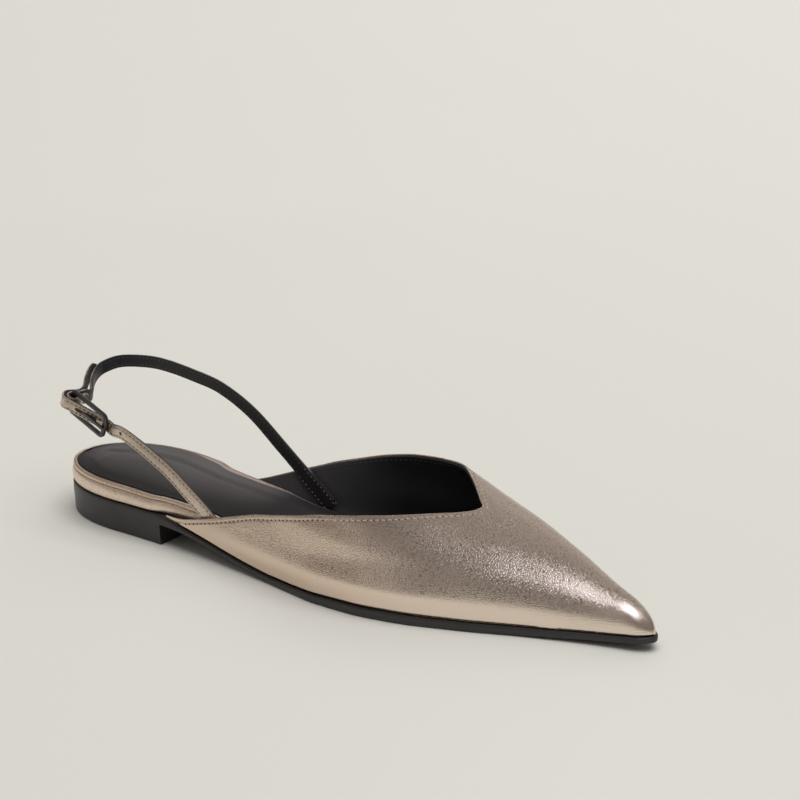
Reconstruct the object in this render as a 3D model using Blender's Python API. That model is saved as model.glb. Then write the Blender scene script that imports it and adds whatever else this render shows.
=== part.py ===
"""Pointed slingback flat for the right foot, built from its maker's separate pieces.

Every size below is in millimetres in the last's own frame: x runs from the back of the heel
to the toe, -y is the outer side, +y the inner side and z is the height above the floor.
The parent empty then brings the origin under the middle of the shoe's box.
"""
import bpy
import bmesh
import numpy as np

MM = 0.001

# Driving sizes
LENGTH = 269.0          # sole, heel to toe
CLEARANCE = 0.3         # between neighbouring pieces
HEEL_ROUND = 37.3       # length of the rounded back of the heel seat
HEEL_POWER = 2.1        # superellipse exponent of that rounding
TOE_ROUND = 6.0         # length of the rounded point of the toe
SOLE_CORNER = 0.5       # chamfer of the outsole's edge
BREAST = 60.3           # front face of the heel block
HEEL_TAPER = 0.6        # how much the heel block draws in at the floor
HEEL_CORNER = 0.4
UPPER_INSET = 0.9       # ledge of the outsole outside the upper
WALL = 1.5              # leather and lining of the upper
UPPER_START = 63.5      # rear tips of the two quarters
TOE_PUFF = 13.0         # length over which the toe box rounds down to its tip
THROAT = (192.5, 1.2)   # x and y of the V point
BED_END = 256.0         # toe end of the footbed
SOCK_END = 252.0        # toe end of the insole
SOCK_THICK = 1.2        # insole, standing a little proud of the footbed's rim
SOCK_PROUD = 0.3
STRAP_THICK = 1.4
STRAP_CORNER = 0.35
STRAP_STEP = 2.4        # distance between the sections of a strap
FRAME_LENGTH = 22.0     # buckle frame, outside
FRAME_WIDTH = 10.8
BAR_WIDTH = 1.8
BAR_THICK = 1.6
BAR_CORNER = 0.4
FRAME_RADIUS = 1.6      # corner of the frame along the middle of its bar
PRONG_WIDTH = 1.5
PRONG_THICK = 0.9
PRONG_CORNER = 0.2
PRONG_TIP = 1.4         # how far the tip reaches over the front bar
TURN_PLAY = 0.4         # between the hinge bar and what turns round it

EDGE_STEPS = 34         # sections along each edge of a sole piece
WALL_ROWS = 11          # rows of the upper from feather edge to topline, each side
SHARP = np.radians(40)  # a sharper edge than this is shaded as a corner


def table(columns, rows):
    """Columns of a short table by name."""
    return dict(zip(columns.split(), np.array(rows, dtype=float).T))


# Outsole: half-widths before the ends are rounded, the axis they close on, heights of its two faces
SOLE = table("x lateral medial axis top bottom", [
    (0, 24.1, 24.1, 0, 12.4, 8.6),
    (37, 24.3, 24.0, 0, 12.4, 8.6),
    (60, 25.5, 22.2, 0, 12.2, 8.6),
    (72, 26.6, 21.3, 0, 10.0, 7.8),
    (84, 27.9, 20.6, 0, 7.8, 6.1),
    (96, 29.4, 20.9, 0, 5.6, 4.1),
    (108, 31.2, 22.4, 0, 3.9, 2.4),
    (120, 33.2, 25.4, 0, 2.9, 1.1),
    (132, 35.6, 29.0, 0, 2.8, 0.3),
    (145, 37.9, 32.4, 0, 3.2, 0),
    (160, 38.3, 35.0, 0, 3.5, 0),
    (175, 36.4, 35.8, 0, 3.5, 0),
    (200, 28.9, 31.6, 0, 3.3, 0),
    (225, 19.0, 21.4, -0.5, 3.4, 0.5),
    (248, 11.4, 10.6, -1.4, 4.2, 1.7),
    (269, 6.2, 2.2, -2.2, 5.6, 3.2),
])

# Footbed: insets from the outsole's edge, insets of the insole from the footbed, height of the rim
BED = table("x lateral medial sock_lateral sock_medial rim", [
    (0, 0.3, 0.3, 1.8, 1.8, 20.4),
    (40, 0.3, 0.3, 1.7, 2.4, 20.0),
    (54, 0.8, 0.5, 1.7, 3.6, 19.4),
    (62, 3.0, 2.6, 1.7, 3.6, 18.9),
    (76, 4.6, 3.2, 1.7, 3.2, 18.0),
    (92, 5.3, 3.2, 1.7, 2.4, 16.2),
    (106, 4.4, 3.2, 1.7, 1.8, 12.8),
    (120, 3.4, 3.2, 1.7, 1.7, 10.2),
    (150, 3.4, 3.2, 1.7, 1.7, 8.6),
    (200, 3.4, 3.2, 1.7, 1.7, 8.0),
    (269, 3.4, 3.2, 1.7, 1.7, 9.4),
])

# Footbed's side from the sole up: inset, share of the height to the rim, drop, how much shorter at the toe
BED_SIDE = table("inset share drop short", [
    (0.5, 0, 0, 0.5),
    (0, 0.1, 0, 0),
    (-0.5, 0.4, 0, 0),
    (-0.1, 0.7, 0, 0),
    (0.5, 0.76, 0, 0.5),
    (0.1, 0.83, 0, 0),
    (0.6, 1, 0.2, 0.7),
    (1.1, 1, 0, 1.3),
])

# Insole's edge from its underside up: inset and share of its thickness
SOCK_SIDE = table("inset share", [(0.5, 0), (0, 0.35), (0.3, 0.75), (1.2, 1)])

# Dish of the insole below the footbed's rim, in the middle of the foot
DISH = table("x depth", [(0, 0.5), (25, 1.6), (45, 1.6), (75, 0.7), (130, 0.3), (269, 0.2)])

# Last: crest of the section, outward lean of each wall at the feather edge (mm per mm),
# and the fullness of the side and of the roof (0 to 1)
LAST = table("x crest_y crest_z lean_lateral lean_medial side roof", [
    (60, 2.0, 80.0, 0.05, 0.40, 0.60, 0.80),
    (90, 3.0, 76.0, 0.06, 0.45, 0.60, 0.80),
    (120, 4.0, 68.0, 0.08, 0.32, 0.62, 0.80),
    (150, 6.0, 55.0, 0.08, 0.12, 0.66, 0.80),
    (175, 8.0, 43.5, 0.06, 0.06, 0.68, 0.72),
    (192.5, 8.5, 36.9, 0.05, 0.05, 0.68, 0.66),
    (210, 7.5, 31.8, 0.05, 0.05, 0.68, 0.62),
    (230, 5.0, 25.6, 0.05, 0.05, 0.68, 0.60),
    (250, 1.4, 18.6, 0.05, 0.05, 0.68, 0.60),
    (269, -2.2, 13.6, 0.05, 0.05, 0.68, 0.60),
])

# Topline: angle from upright, seen along the shoe from the throat's axis at the feather edge
TOPLINE = table("x lateral medial", [
    (60, 90, 88),
    (70, 85, 79),
    (83, 74, 64),
    (97, 63.5, 52.5),
    (112, 56, 45),
    (128, 52.5, 42),
    (142, 50, 40),
    (158, 46, 38),
    (166, 42, 34),
    (176, 34, 24),
    (185, 22, 13),
    (190.5, 11, 4.5),
    (192.5, 0, 0),
])

# Straps: centre line by hand, with the width of the strap at each point
LATERAL_RUN = [
    (92.0, -25.3, 10.6, 6.2),
    (84.8, -24.9, 16.6, 6.0),
    (78.0, -25.0, 22.3, 5.6),
    (66.2, -25.0, 31.0, 5.2),
    (58.1, -25.0, 35.5, 5.0),
    (50.0, -25.0, 39.5, 5.0),
    (42.0, -24.4, 42.2, 5.0),
]
TAIL_RUN = [
    (11.0, -14.6, 49.4, 5.0),
    (8.4, -8.6, 48.6, 5.0),
    (4.0, -2.4, 48.2, 5.0),
    (-0.4, 3.4, 48.0, 5.0),
    (-3.8, 9.4, 49.0, 5.0),
    (-4.4, 14.0, 50.8, 4.8),
]
MEDIAL_RUN = [
    (12.2, -8.4, 47.8, 5.0),
    (6.6, -1.6, 47.4, 5.0),
    (0.6, 6.0, 47.6, 5.0),
    (-2.2, 11.6, 48.8, 5.0),
    (-1.8, 16.0, 50.5, 5.0),
    (3.8, 20.2, 52.9, 5.0),
    (16.2, 21.8, 54.6, 5.0),
    (27.0, 21.8, 54.8, 5.0),
    (40.2, 22.0, 53.2, 5.0),
    (54.2, 22.2, 50.4, 5.0),
    (69.0, 23.0, 42.7, 5.2),
    (83.6, 23.2, 31.2, 5.6),
    (94.2, 22.3, 23.6, 6.0),
    (104.2, 21.5, 16.6, 6.2),
    (109.6, 21.2, 12.2, 6.2),
]

# Buckle: middle of the frame and the way its long side points, front bar to hinge bar
BUCKLE_CENTRE = np.array([22.8, -22.2, 46.0])
BUCKLE_REARWARD = np.array([-0.935, 0.150, 0.320])
# Long strap through the frame and prong over the strap: distance behind the frame's middle, and outward
STRAP_PASS = [(0.5, 0.9), (7.1, 2.7)]
PRONG_PASS = [(7.1, 1.1), (4.1, 1.15)]
PRONG_LEVEL = (0.1, -4.9)   # behind the middle, where the prong runs level to the front bar
PRONG_HOLE = (-5.5, 5.8)    # slot in the long strap, along the frame
FOLD_TAIL = 7.0         # length of the short strap's folded end
BUCKLE_REACH = 15.0     # a strap lies square to the buckle within this distance of its middle
UPRIGHT_FROM = 30.0     # and is upright beyond this one


def smooth(x, columns, name):
    """Value at x of a tabled column, on a cubic that never overshoots its rows."""
    at, value = columns["x"], columns[name]
    gap = np.diff(at)
    slope = np.diff(value) / gap
    before, after = slope[:-1], slope[1:]
    same_way = before * after > 0
    mean = np.where(same_way, before * after, 0) * (gap[:-1] + gap[1:])
    share = np.where(same_way, gap[:-1] * before + gap[1:] * after, 1)
    tangent = np.concatenate([slope[:1], mean / share, slope[-1:]])
    k = np.clip(np.searchsorted(at, x, side="right") - 1, 0, len(gap) - 1)
    t = np.clip((x - at[k]) / gap[k], 0, 1)
    rise = t * t * (3 - 2 * t)
    lead = t * (1 - t) ** 2
    lag = t * t * (t - 1)
    return value[k] + (value[k + 1] - value[k]) * rise + gap[k] * (tangent[k] * lead + tangent[k + 1] * lag)


def spread(first, last, count):
    """Stations from first to last, closer together at both ends."""
    turn = np.linspace(0, np.pi, count)
    return first + (last - first) * (1 - np.cos(turn)) / 2


def edge_y(x, side, inset, end):
    """Place of an edge across the shoe: outline less inset, closing on the axis at the heel and the toe."""
    back = np.clip((HEEL_ROUND - x) / (HEEL_ROUND - np.min(inset)), 0, 1)
    front = np.clip((x - end) / TOE_ROUND + 1, 0, 1)
    open_share = (1 - back ** HEEL_POWER) ** (1 / HEEL_POWER) * np.sqrt(1 - front ** 2)
    way = -1 if side == "lateral" else 1
    axis = smooth(x, SOLE, "axis")
    return axis + (way * (smooth(x, SOLE, side) - inset) - axis) * open_share


def ring(inset, height, end, follow=()):
    """Closed edge: from the back of the heel along the outer side to the toe and back along the inner side.

    The inset from the outsole's edge is one number, plus the footbed's columns whose prefixes are given.
    """
    def total(x, side):
        return inset + sum((smooth(x, BED, prefix + side) for prefix in follow), 0 * x)

    def edge(x, side):
        return np.stack([x, edge_y(x, side, total(x, side), end), height(x)], axis=1)

    x = spread(float(total(np.zeros(1), "lateral")[0]), end, EDGE_STEPS)
    return np.vstack([edge(x, "lateral"), edge(x, "medial")[-2:0:-1]])


def material(name, colour, roughness, metallic=0.0):
    """Plain finish for one piece."""
    finish = bpy.data.materials.new(name)
    finish.use_nodes = True
    shader = finish.node_tree.nodes["Principled BSDF"]
    shader.inputs["Base Color"].default_value = (*colour, 1.0)
    shader.inputs["Roughness"].default_value = roughness
    shader.inputs["Metallic"].default_value = metallic
    return finish


def placed(name, bm, finish, parent):
    """One named object, shaded smooth, from a closed bmesh in metres."""
    mesh = bpy.data.meshes.new(name)
    bm.to_mesh(mesh)
    bm.free()
    mesh.shade_smooth()
    mesh.set_sharp_from_angle(angle=SHARP)
    mesh.materials.append(finish)
    obj = bpy.data.objects.new(name, mesh)
    obj.parent = parent
    bpy.context.collection.objects.link(obj)
    return obj


def piece(name, points, faces, finish, parent):
    """One named solid from points in millimetres, its faces turned outwards."""
    bm = bmesh.new()
    verts = [bm.verts.new(point) for point in np.asarray(points) * MM]
    for face in faces:
        bm.faces.new([verts[k] for k in face])
    bmesh.ops.remove_doubles(bm, verts=bm.verts, dist=1e-6)
    bmesh.ops.recalc_face_normals(bm, faces=bm.faces)
    return placed(name, bm, finish, parent)


def band(first, second, count):
    """Quads between two closed rings of the same count, given where each starts."""
    step = np.arange(count)
    ahead = (step + 1) % count
    return np.stack([first + step, first + ahead, second + ahead, second + step], axis=1).tolist()


def lid(points, start, count, sag):
    """Closes a ring with cross strips from its outer to its inner edge, sagging between them.

    The sag gives, for each cross strip's x, how far its middle lies below its ends.
    """
    half = count // 2
    shares = (0.25, 0.5, 0.75) if sag else ()
    faces = []
    previous = [start]
    for i in range(1, half):
        left, right = points[start + i], points[start + count - i]
        row = [start + i]
        for share in shares:
            middle = left + (right - left) * share
            middle[2] -= float(sag(left[0])) * 4 * share * (1 - share)
            points.append(middle)
            row.append(len(points) - 1)
        row.append(start + count - i)
        faces += strip(previous, row)
        previous = row
    return faces + strip(previous, [start + half])


def strip(first, second):
    """Faces between two rows of points; a row of one point makes a fan."""
    if len(first) == 1:
        return [(first[0], a, b) for a, b in zip(second, second[1:])]
    if len(second) == 1:
        return [(a, b, second[0]) for a, b in zip(first, first[1:])]
    return [(a, b, d, c) for a, b, c, d in zip(first, first[1:], second, second[1:])]


def stack(name, rings, finish, parent, sag_top=None, sag_bottom=None):
    """Solid with a skin through rings from bottom to top, closed at both ends."""
    count = len(rings[0])
    points = [p for one in rings for p in one]
    faces = []
    for level in range(len(rings) - 1):
        faces += band(level * count, (level + 1) * count, count)
    faces += lid(points, 0, count, sag_bottom)
    faces += lid(points, (len(rings) - 1) * count, count, sag_top)
    return piece(name, points, faces, finish, parent)


def sole_top(x):
    return smooth(x, SOLE, "top")


def sole_bottom(x):
    return smooth(x, SOLE, "bottom")


def rim(x):
    return smooth(x, BED, "rim")


def dish(x):
    return smooth(x, DISH, "depth")


def make_outsole(finish, parent):
    """Through sole: thin at the waist, flat under the ball, sprung at the toe."""
    corner = SOLE_CORNER
    rings = [
        ring(corner, sole_bottom, LENGTH - corner),
        ring(0, lambda x: sole_bottom(x) + corner, LENGTH),
        ring(0, lambda x: sole_top(x) - corner, LENGTH),
        ring(corner, sole_top, LENGTH - corner),
    ]
    return stack("outsole", rings, finish, parent)


def make_heel(finish, parent):
    """Low block under the heel seat, cut straight across at the breast."""
    top = SOLE["bottom"][0] - CLEARANCE
    levels = [
        (HEEL_TAPER + HEEL_CORNER, 0.0),
        (HEEL_TAPER, HEEL_CORNER),
        (0.2, top),
    ]
    rings = []
    for inset, height in levels:
        x = BREAST - (BREAST - inset) * (1 + np.cos(np.linspace(0, np.pi, EDGE_STEPS))) / 2
        outer = np.stack([x, edge_y(x, "lateral", inset, LENGTH), 0 * x + height], axis=1)
        inner = np.stack([x, edge_y(x, "medial", inset, LENGTH), 0 * x + height], axis=1)
        rings.append(np.vstack([outer, inner[:0:-1]]))
    count = len(rings[0])
    points = [p for one in rings for p in one]
    faces = band(0, count, count) + band(count, 2 * count, count)
    faces += [tuple(range(count)), tuple(range(2 * count, 3 * count))]
    return piece("heel", points, faces, finish, parent)


def make_footbed(finish, parent):
    """Covered bed: bulging side, crease, rolled rim, and a tray for the insole."""
    def level(share, drop):
        return lambda x: (sole_top(x) + CLEARANCE) * (1 - share) + rim(x) * share - drop

    rings = []
    for inset, share, drop, short in zip(*BED_SIDE.values()):
        rings.append(ring(inset, level(share, drop), BED_END - short, ("",)))
    tray = SOCK_THICK - SOCK_PROUD + CLEARANCE
    for drop in (CLEARANCE, tray):
        rings.append(ring(-CLEARANCE, level(1, drop), SOCK_END + 2 * CLEARANCE, ("", "sock_")))
    return stack("footbed", rings, finish, parent, sag_top=dish)


def make_insole(finish, parent):
    """Padded sock in the footbed's tray, dished under the heel."""
    def level(share):
        return lambda x: rim(x) + SOCK_PROUD - (1 - share) * SOCK_THICK

    rings = []
    for inset, share in zip(*SOCK_SIDE.values()):
        rings.append(ring(inset, level(share), SOCK_END - inset, ("", "sock_")))
    return stack("insole", rings, finish, parent, sag_top=dish, sag_bottom=dish)


def last_point(x, t):
    """Skin of the last: t from 0 at the outer feather edge over the crest at 0.5 to 1 at the inner edge.

    Each half is one cubic arc: it rises from the feather edge with the wall's lean and
    runs level into the crest.
    """
    end = LENGTH - UPPER_INSET
    foot = sole_top(x) + CLEARANCE
    front = np.clip((x - end) / TOE_PUFF + 1, 0, 1)
    height = (smooth(x, LAST, "crest_z") - foot) * np.sqrt(1 - front ** 2)
    crest = smooth(x, LAST, "crest_y")
    outer = t <= 0.5
    way = np.where(outer, -1.0, 1.0)
    edge = np.where(outer, edge_y(x, "lateral", UPPER_INSET, end), edge_y(x, "medial", UPPER_INSET, end))
    lean = np.where(outer, smooth(x, LAST, "lean_lateral"), smooth(x, LAST, "lean_medial"))
    side = smooth(x, LAST, "side") * height
    shoulder = crest + smooth(x, LAST, "roof") * (edge - crest)
    u = np.where(outer, 2 * t, 2 - 2 * t)
    v = 1 - u
    wall = edge + way * lean * side
    y = v ** 3 * edge + 3 * u * v * v * wall + 3 * u * u * v * shoulder + u ** 3 * crest
    z = foot + 3 * u * v * v * side + (3 * u * u * v + u ** 3) * height
    return np.stack([x + 0 * t, y, z], axis=-1)


def cut_at(x, angle):
    """Place t on each section where the line at this angle from upright leaves the last."""
    low, high = np.zeros_like(x), np.ones_like(x)
    foot = sole_top(x) + CLEARANCE
    for _ in range(40):
        middle = (low + high) / 2
        point = last_point(x, middle)
        beyond = np.arctan2(point[:, 1] - THROAT[1], point[:, 2] - foot) > angle
        low, high = np.where(beyond, low, middle), np.where(beyond, middle, high)
    return (low + high) / 2


def upper_rows():
    """Grid of the upper's outside: stations by rows, the outer half's rows and then the inner half's."""
    behind = UPPER_START + (THROAT[0] - UPPER_START) * np.sin(np.linspace(0, np.pi / 2, 19))
    ahead = spread(2 * THROAT[0] - LENGTH + UPPER_INSET, LENGTH - UPPER_INSET, 35)[18:]
    x = np.concatenate([behind, ahead])
    open_angle = np.where(x < THROAT[0], 1.0, 0.0)
    outer_end = cut_at(x, -np.radians(smooth(x, TOPLINE, "lateral")) * open_angle)
    inner_end = cut_at(x, np.radians(smooth(x, TOPLINE, "medial")) * open_angle)
    share = np.linspace(0, 1, WALL_ROWS)
    outer = last_point(x[:, None], outer_end[:, None] * share)
    inner = last_point(x[:, None], 1 - (1 - inner_end[:, None]) * share)
    return np.stack([outer, inner], axis=1)


def make_upper(finish, parent):
    """Vamp and quarters as one hollow wall, open at the collar and throat and underneath."""
    grid = upper_rows()
    stations, halves, rows = grid.shape[:3]
    index = np.arange(stations * halves * rows).reshape(stations, halves, rows)
    bm = bmesh.new()
    tag = bm.verts.layers.int.new("foot")
    verts = [bm.verts.new(p * MM) for p in grid.reshape(-1, 3)]
    for half in range(halves):
        a, b = index[:-1, half, :-1].ravel(), index[1:, half, :-1].ravel()
        c, d = index[1:, half, 1:].ravel(), index[:-1, half, 1:].ravel()
        for quad in zip(a, b, c, d):
            corners = [verts[k] for k in quad]
            bm.faces.new(corners if half == 0 else corners[::-1])
    for k in index[:, :, 0].ravel():
        verts[k][tag] = 1
    bmesh.ops.remove_doubles(bm, verts=bm.verts, dist=2e-6)
    thicken(bm, WALL * MM, tag)
    return placed("upper", bm, finish, parent)


def thicken(bm, wall, tag):
    """Gives an open skin its wall: a second skin inside it and a rim round its border.

    Points tagged as the foot of the wall move level, so that the wall stands flat on the sole.
    """
    bm.normal_update()
    skin = list(bm.faces)
    border = [edge for edge in bm.edges if edge.is_boundary]
    inside = {}
    for vert in list(bm.verts):
        way = vert.normal.copy()
        if vert[tag]:
            way.z = 0
            way.normalize()
        inside[vert] = bm.verts.new(vert.co - way * wall)
    for face in skin:
        bm.faces.new([inside[vert] for vert in reversed(face.verts)])
    for edge in border:
        first, second = edge.link_loops[0].vert, edge.link_loops[0].link_loop_next.vert
        bm.faces.new([second, first, inside[first], inside[second]])


def along(run):
    """Smooth curve through hand-chosen points, read at even steps: centre points and widths."""
    run = np.array(run, dtype=float)
    padded = np.vstack([2 * run[0] - run[1], run, 2 * run[-1] - run[-2]])
    fine = []
    for k in range(len(run) - 1):
        t = np.linspace(0, 1, 24, endpoint=False)[:, None]
        a, b, c, d = padded[k:k + 4]
        fine.append(b + 0.5 * t * (c - a + t * (2 * a - 5 * b + 4 * c - d + t * (3 * (b - c) + d - a))))
    fine = np.vstack(fine + [run[-1:]])
    travelled = np.concatenate([[0], np.cumsum(np.linalg.norm(np.diff(fine[:, :3], axis=0), axis=1))])
    count = int(np.ceil(travelled[-1] / STRAP_STEP)) + 1
    at = np.linspace(0, travelled[-1], count)
    even = np.stack([np.interp(at, travelled, fine[:, k]) for k in range(4)], axis=1)
    return even[:, :3], even[:, 3]


def unit(vectors):
    return vectors / np.linalg.norm(vectors, axis=-1, keepdims=True)


def flat_section(high, deep, corner):
    """Eight corners of a flat bar's section, from its half-width and half-thickness."""
    return [
        (high - corner, deep), (high, deep - corner),
        (high, corner - deep), (high - corner, -deep),
        (corner - high, -deep), (-high, corner - deep),
        (-high, deep - corner), (corner - high, deep),
    ]


def flat_bar(name, centre, upright, width, thick, corner, finish, parent):
    """Solid flat bar swept along a path, with closed ends."""
    forward = unit(np.gradient(centre, axis=0))
    up = unit(upright - (upright * forward).sum(axis=1, keepdims=True) * forward)
    out = np.cross(up, forward)
    section = flat_section((np.zeros(len(centre)) + width)[:, None] / 2, thick / 2, corner)
    sides = len(section)
    rings = np.stack([centre + up * a + out * b for a, b in section], axis=1)
    points = rings.reshape(-1, 3)
    faces = []
    for k in range(len(centre) - 1):
        faces += band(k * sides, (k + 1) * sides, sides)
    last = (len(centre) - 1) * sides
    faces += [tuple(range(sides)), tuple(range(last, last + sides))]
    return piece(name, points, faces, finish, parent)


def buckle_axes():
    """The frame's own directions: rearward along the strap, up across it, and outward."""
    rearward = unit(BUCKLE_REARWARD)
    up = unit(np.array([0, 0, 1.0]) - rearward[2] * rearward)
    return rearward, up, np.cross(up, rearward)


def on_buckle(rear, out, up=0.0):
    """Point given in the frame's own directions from its middle."""
    rearward, upward, outward = buckle_axes()
    return BUCKLE_CENTRE + rear * rearward + out * outward + up * upward


def hinge():
    """Place of the hinge bar and of the front bar along the frame."""
    return (FRAME_LENGTH - BAR_WIDTH) / 2


def turn_radius(thick):
    """Middle of something of this thickness that turns round the hinge bar."""
    return BAR_WIDTH / 2 + TURN_PLAY + thick / 2


def make_frame(finish, parent):
    """Plain rectangular frame with round corners."""
    half_long = hinge()
    half_wide = (FRAME_WIDTH - BAR_WIDTH) / 2
    quarter = np.linspace(0, np.pi / 2, 5)
    section = flat_section(BAR_WIDTH / 2, BAR_THICK / 2, BAR_CORNER)
    points, faces = [], []
    for wider, out in section:
        radius = FRAME_RADIUS + wider
        for turn, (rear_way, up_way) in enumerate(((1, 1), (-1, 1), (-1, -1), (1, -1))):
            for angle in quarter + turn * np.pi / 2:
                rear = rear_way * (half_long - FRAME_RADIUS) + radius * np.cos(angle)
                up = up_way * (half_wide - FRAME_RADIUS) + radius * np.sin(angle)
                points.append(on_buckle(rear, out, up))
    count = 4 * len(quarter)
    for k in range(len(section)):
        faces += band(k * count, (k + 1) % len(section) * count, count)
    return piece("buckle_frame", points, faces, finish, parent)


def prong_path():
    """Wire of the prong: an open eye round the hinge bar, then over the strap to the front bar."""
    radius = turn_radius(PRONG_THICK)
    over = BAR_THICK / 2 + CLEARANCE + PRONG_THICK / 2
    angles = np.radians(np.linspace(-60, 135, 10))
    eye = [(hinge() + radius * np.cos(a), radius * np.sin(a)) for a in angles]
    level = [(rear, over) for rear in (*PRONG_LEVEL, -hinge(), -hinge() - PRONG_TIP)]
    return np.array([on_buckle(rear, out) for rear, out in eye + PRONG_PASS + level])


def make_prong(finish, parent):
    """Prong on the hinge bar with its tip on the front bar."""
    centre = prong_path()
    upright = np.tile(buckle_axes()[1], (len(centre), 1))
    size = (PRONG_WIDTH, PRONG_THICK, PRONG_CORNER)
    return flat_bar("buckle_prong", centre, upright, *size, finish, parent)


def cut(target, name, low, high):
    """Cuts a slot given as a box in the buckle's own directions: rearward, outward and up."""
    rear, out, up = zip(low, high)
    corners = [on_buckle(r, o, u) for u in up for o in out for r in rear]
    faces = [(0, 1, 3, 2), (4, 6, 7, 5), (0, 4, 5, 1), (2, 3, 7, 6), (0, 2, 6, 4), (1, 5, 7, 3)]
    cutter = piece(name, corners, faces, target.data.materials[0], target.parent)
    cutter.hide_render = True
    cutter.display_type = "WIRE"
    slot = target.modifiers.new(name, "BOOLEAN")
    slot.operation = "DIFFERENCE"
    slot.solver = "EXACT"
    slot.object = cutter


def strap_upright(points):
    """Way across a strap: the buckle's own near the buckle, upright away from it."""
    distance = np.linalg.norm(points - BUCKLE_CENTRE, axis=1)[:, None]
    share = np.clip((UPRIGHT_FROM - distance) / (UPRIGHT_FROM - BUCKLE_REACH), 0, 1)
    return share * buckle_axes()[1] + (1 - share) * np.array([0.0, 0.0, 1.0])


def prong_slot():
    """Half-width of the slot that a strap has for the prong."""
    return PRONG_WIDTH / 2 + CLEARANCE


def make_lateral_strap(finish, parent):
    """Long strap: from inside the outer quarter, behind the front bar, over the hinge, round the back."""
    behind = BAR_THICK / 2 + CLEARANCE + STRAP_THICK / 2
    over = turn_radius(STRAP_THICK) + STRAP_THICK + CLEARANCE
    width = TAIL_RUN[0][3]
    under_bar = [(-hinge() - 3, -behind), (-hinge() + 0.5, -behind)]
    turn = [(hinge() + over * np.sin(a), over * np.cos(a)) for a in np.radians((0, 30, 60, 90))]
    through = [(*on_buckle(rear, out), width) for rear, out in under_bar + STRAP_PASS + turn]
    centre, widths = along(LATERAL_RUN + through + TAIL_RUN)
    size = (widths, STRAP_THICK, STRAP_CORNER)
    strap = flat_bar("strap_lateral", centre, strap_upright(centre), *size, finish, parent)
    front, back = PRONG_HOLE
    cut(strap, "prong_hole", (front, 0, -prong_slot()), (back, over, prong_slot()))
    return strap


def make_medial_strap(finish, parent):
    """Short strap: folded round the hinge bar, then round the back and down inside the inner quarter."""
    radius = turn_radius(STRAP_THICK)
    layer = (STRAP_THICK + CLEARANCE) / 2
    width = MEDIAL_RUN[0][3]
    neck = [(radius - CLEARANCE, 1 - FOLD_TAIL / 2), (layer, -1 - FOLD_TAIL / 2), (layer, -FOLD_TAIL)]
    folded = [(-rear, out) for rear, out in neck[::-1]]
    loop = [(radius * np.cos(a), radius * np.sin(a)) for a in np.linspace(np.pi, 0, 9)]
    round_bar = np.array([on_buckle(hinge() + rear, out) for rear, out in folded + loop])
    leaving = [(*on_buckle(hinge() + rear, out), width) for rear, out in neck]
    centre, widths = along(leaving + MEDIAL_RUN)
    path = np.vstack([round_bar, centre])
    size = (np.concatenate([np.full(len(round_bar), width), widths]), STRAP_THICK, STRAP_CORNER)
    strap = flat_bar("strap_medial", path, strap_upright(path), *size, finish, parent)
    reach = radius + STRAP_THICK
    low = (hinge() - reach, -reach / 2 - CLEARANCE, -prong_slot())
    cut(strap, "prong_slot", low, (hinge() + reach, reach, prong_slot()))
    return strap


def main():
    for obj in list(bpy.data.objects):
        bpy.data.objects.remove(obj, do_unlink=True)
    shoe = bpy.data.objects.new("shoe", None)
    bpy.context.collection.objects.link(shoe)
    bronze = material("bronze_leather", (0.46, 0.37, 0.29), 0.36, 0.75)
    bronze_cover = material("bronze_cover", (0.44, 0.35, 0.28), 0.42, 0.65)
    black_sole = material("black_sole", (0.022, 0.021, 0.022), 0.45)
    black_heel = material("black_heel", (0.024, 0.023, 0.024), 0.38)
    black_sock = material("black_sock", (0.028, 0.027, 0.028), 0.42)
    strap_leather = material("strap_leather", (0.45, 0.36, 0.29), 0.4, 0.65)
    gunmetal = material("gunmetal", (0.06, 0.06, 0.065), 0.32, 0.9)
    make_outsole(black_sole, shoe)
    make_heel(black_heel, shoe)
    make_footbed(bronze_cover, shoe)
    make_insole(black_sock, shoe)
    make_upper(bronze, shoe)
    make_lateral_strap(strap_leather, shoe)
    make_medial_strap(strap_leather, shoe)
    make_frame(gunmetal, shoe)
    make_prong(gunmetal, shoe)
    solids = [obj for obj in shoe.children if not obj.hide_render]
    points = np.array([vert.co for obj in solids for vert in obj.data.vertices])
    middle = (points.min(axis=0) + points.max(axis=0)) / 2
    shoe.location = (-middle[0], -middle[1], -points[:, 2].min())


main()
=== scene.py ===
"""Looks of a pointed slingback flat for the right foot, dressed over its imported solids.

Every size is in millimetres in the last's own frame: x runs from the back of the heel to the
toe, -y is the outer side, +y the inner side and z is the height above the floor. place() brings
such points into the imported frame.
"""

import bmesh
import bpy
import numpy as np
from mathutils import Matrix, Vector


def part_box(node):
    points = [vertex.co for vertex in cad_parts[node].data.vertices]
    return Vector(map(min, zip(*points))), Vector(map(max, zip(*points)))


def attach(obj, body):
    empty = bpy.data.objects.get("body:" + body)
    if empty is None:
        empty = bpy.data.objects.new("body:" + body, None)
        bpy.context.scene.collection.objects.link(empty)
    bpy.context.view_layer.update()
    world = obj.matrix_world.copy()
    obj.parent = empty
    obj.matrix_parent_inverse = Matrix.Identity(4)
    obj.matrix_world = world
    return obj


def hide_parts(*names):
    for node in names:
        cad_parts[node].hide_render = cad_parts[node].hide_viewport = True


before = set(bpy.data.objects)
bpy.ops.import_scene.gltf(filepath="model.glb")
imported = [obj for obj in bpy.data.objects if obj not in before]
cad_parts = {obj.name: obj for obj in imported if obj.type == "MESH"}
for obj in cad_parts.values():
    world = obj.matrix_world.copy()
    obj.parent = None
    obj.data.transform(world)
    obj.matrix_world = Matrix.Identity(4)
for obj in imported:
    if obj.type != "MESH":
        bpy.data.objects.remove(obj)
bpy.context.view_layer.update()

MM = 0.001
UP = np.array([0, 0, 1.0])

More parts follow.
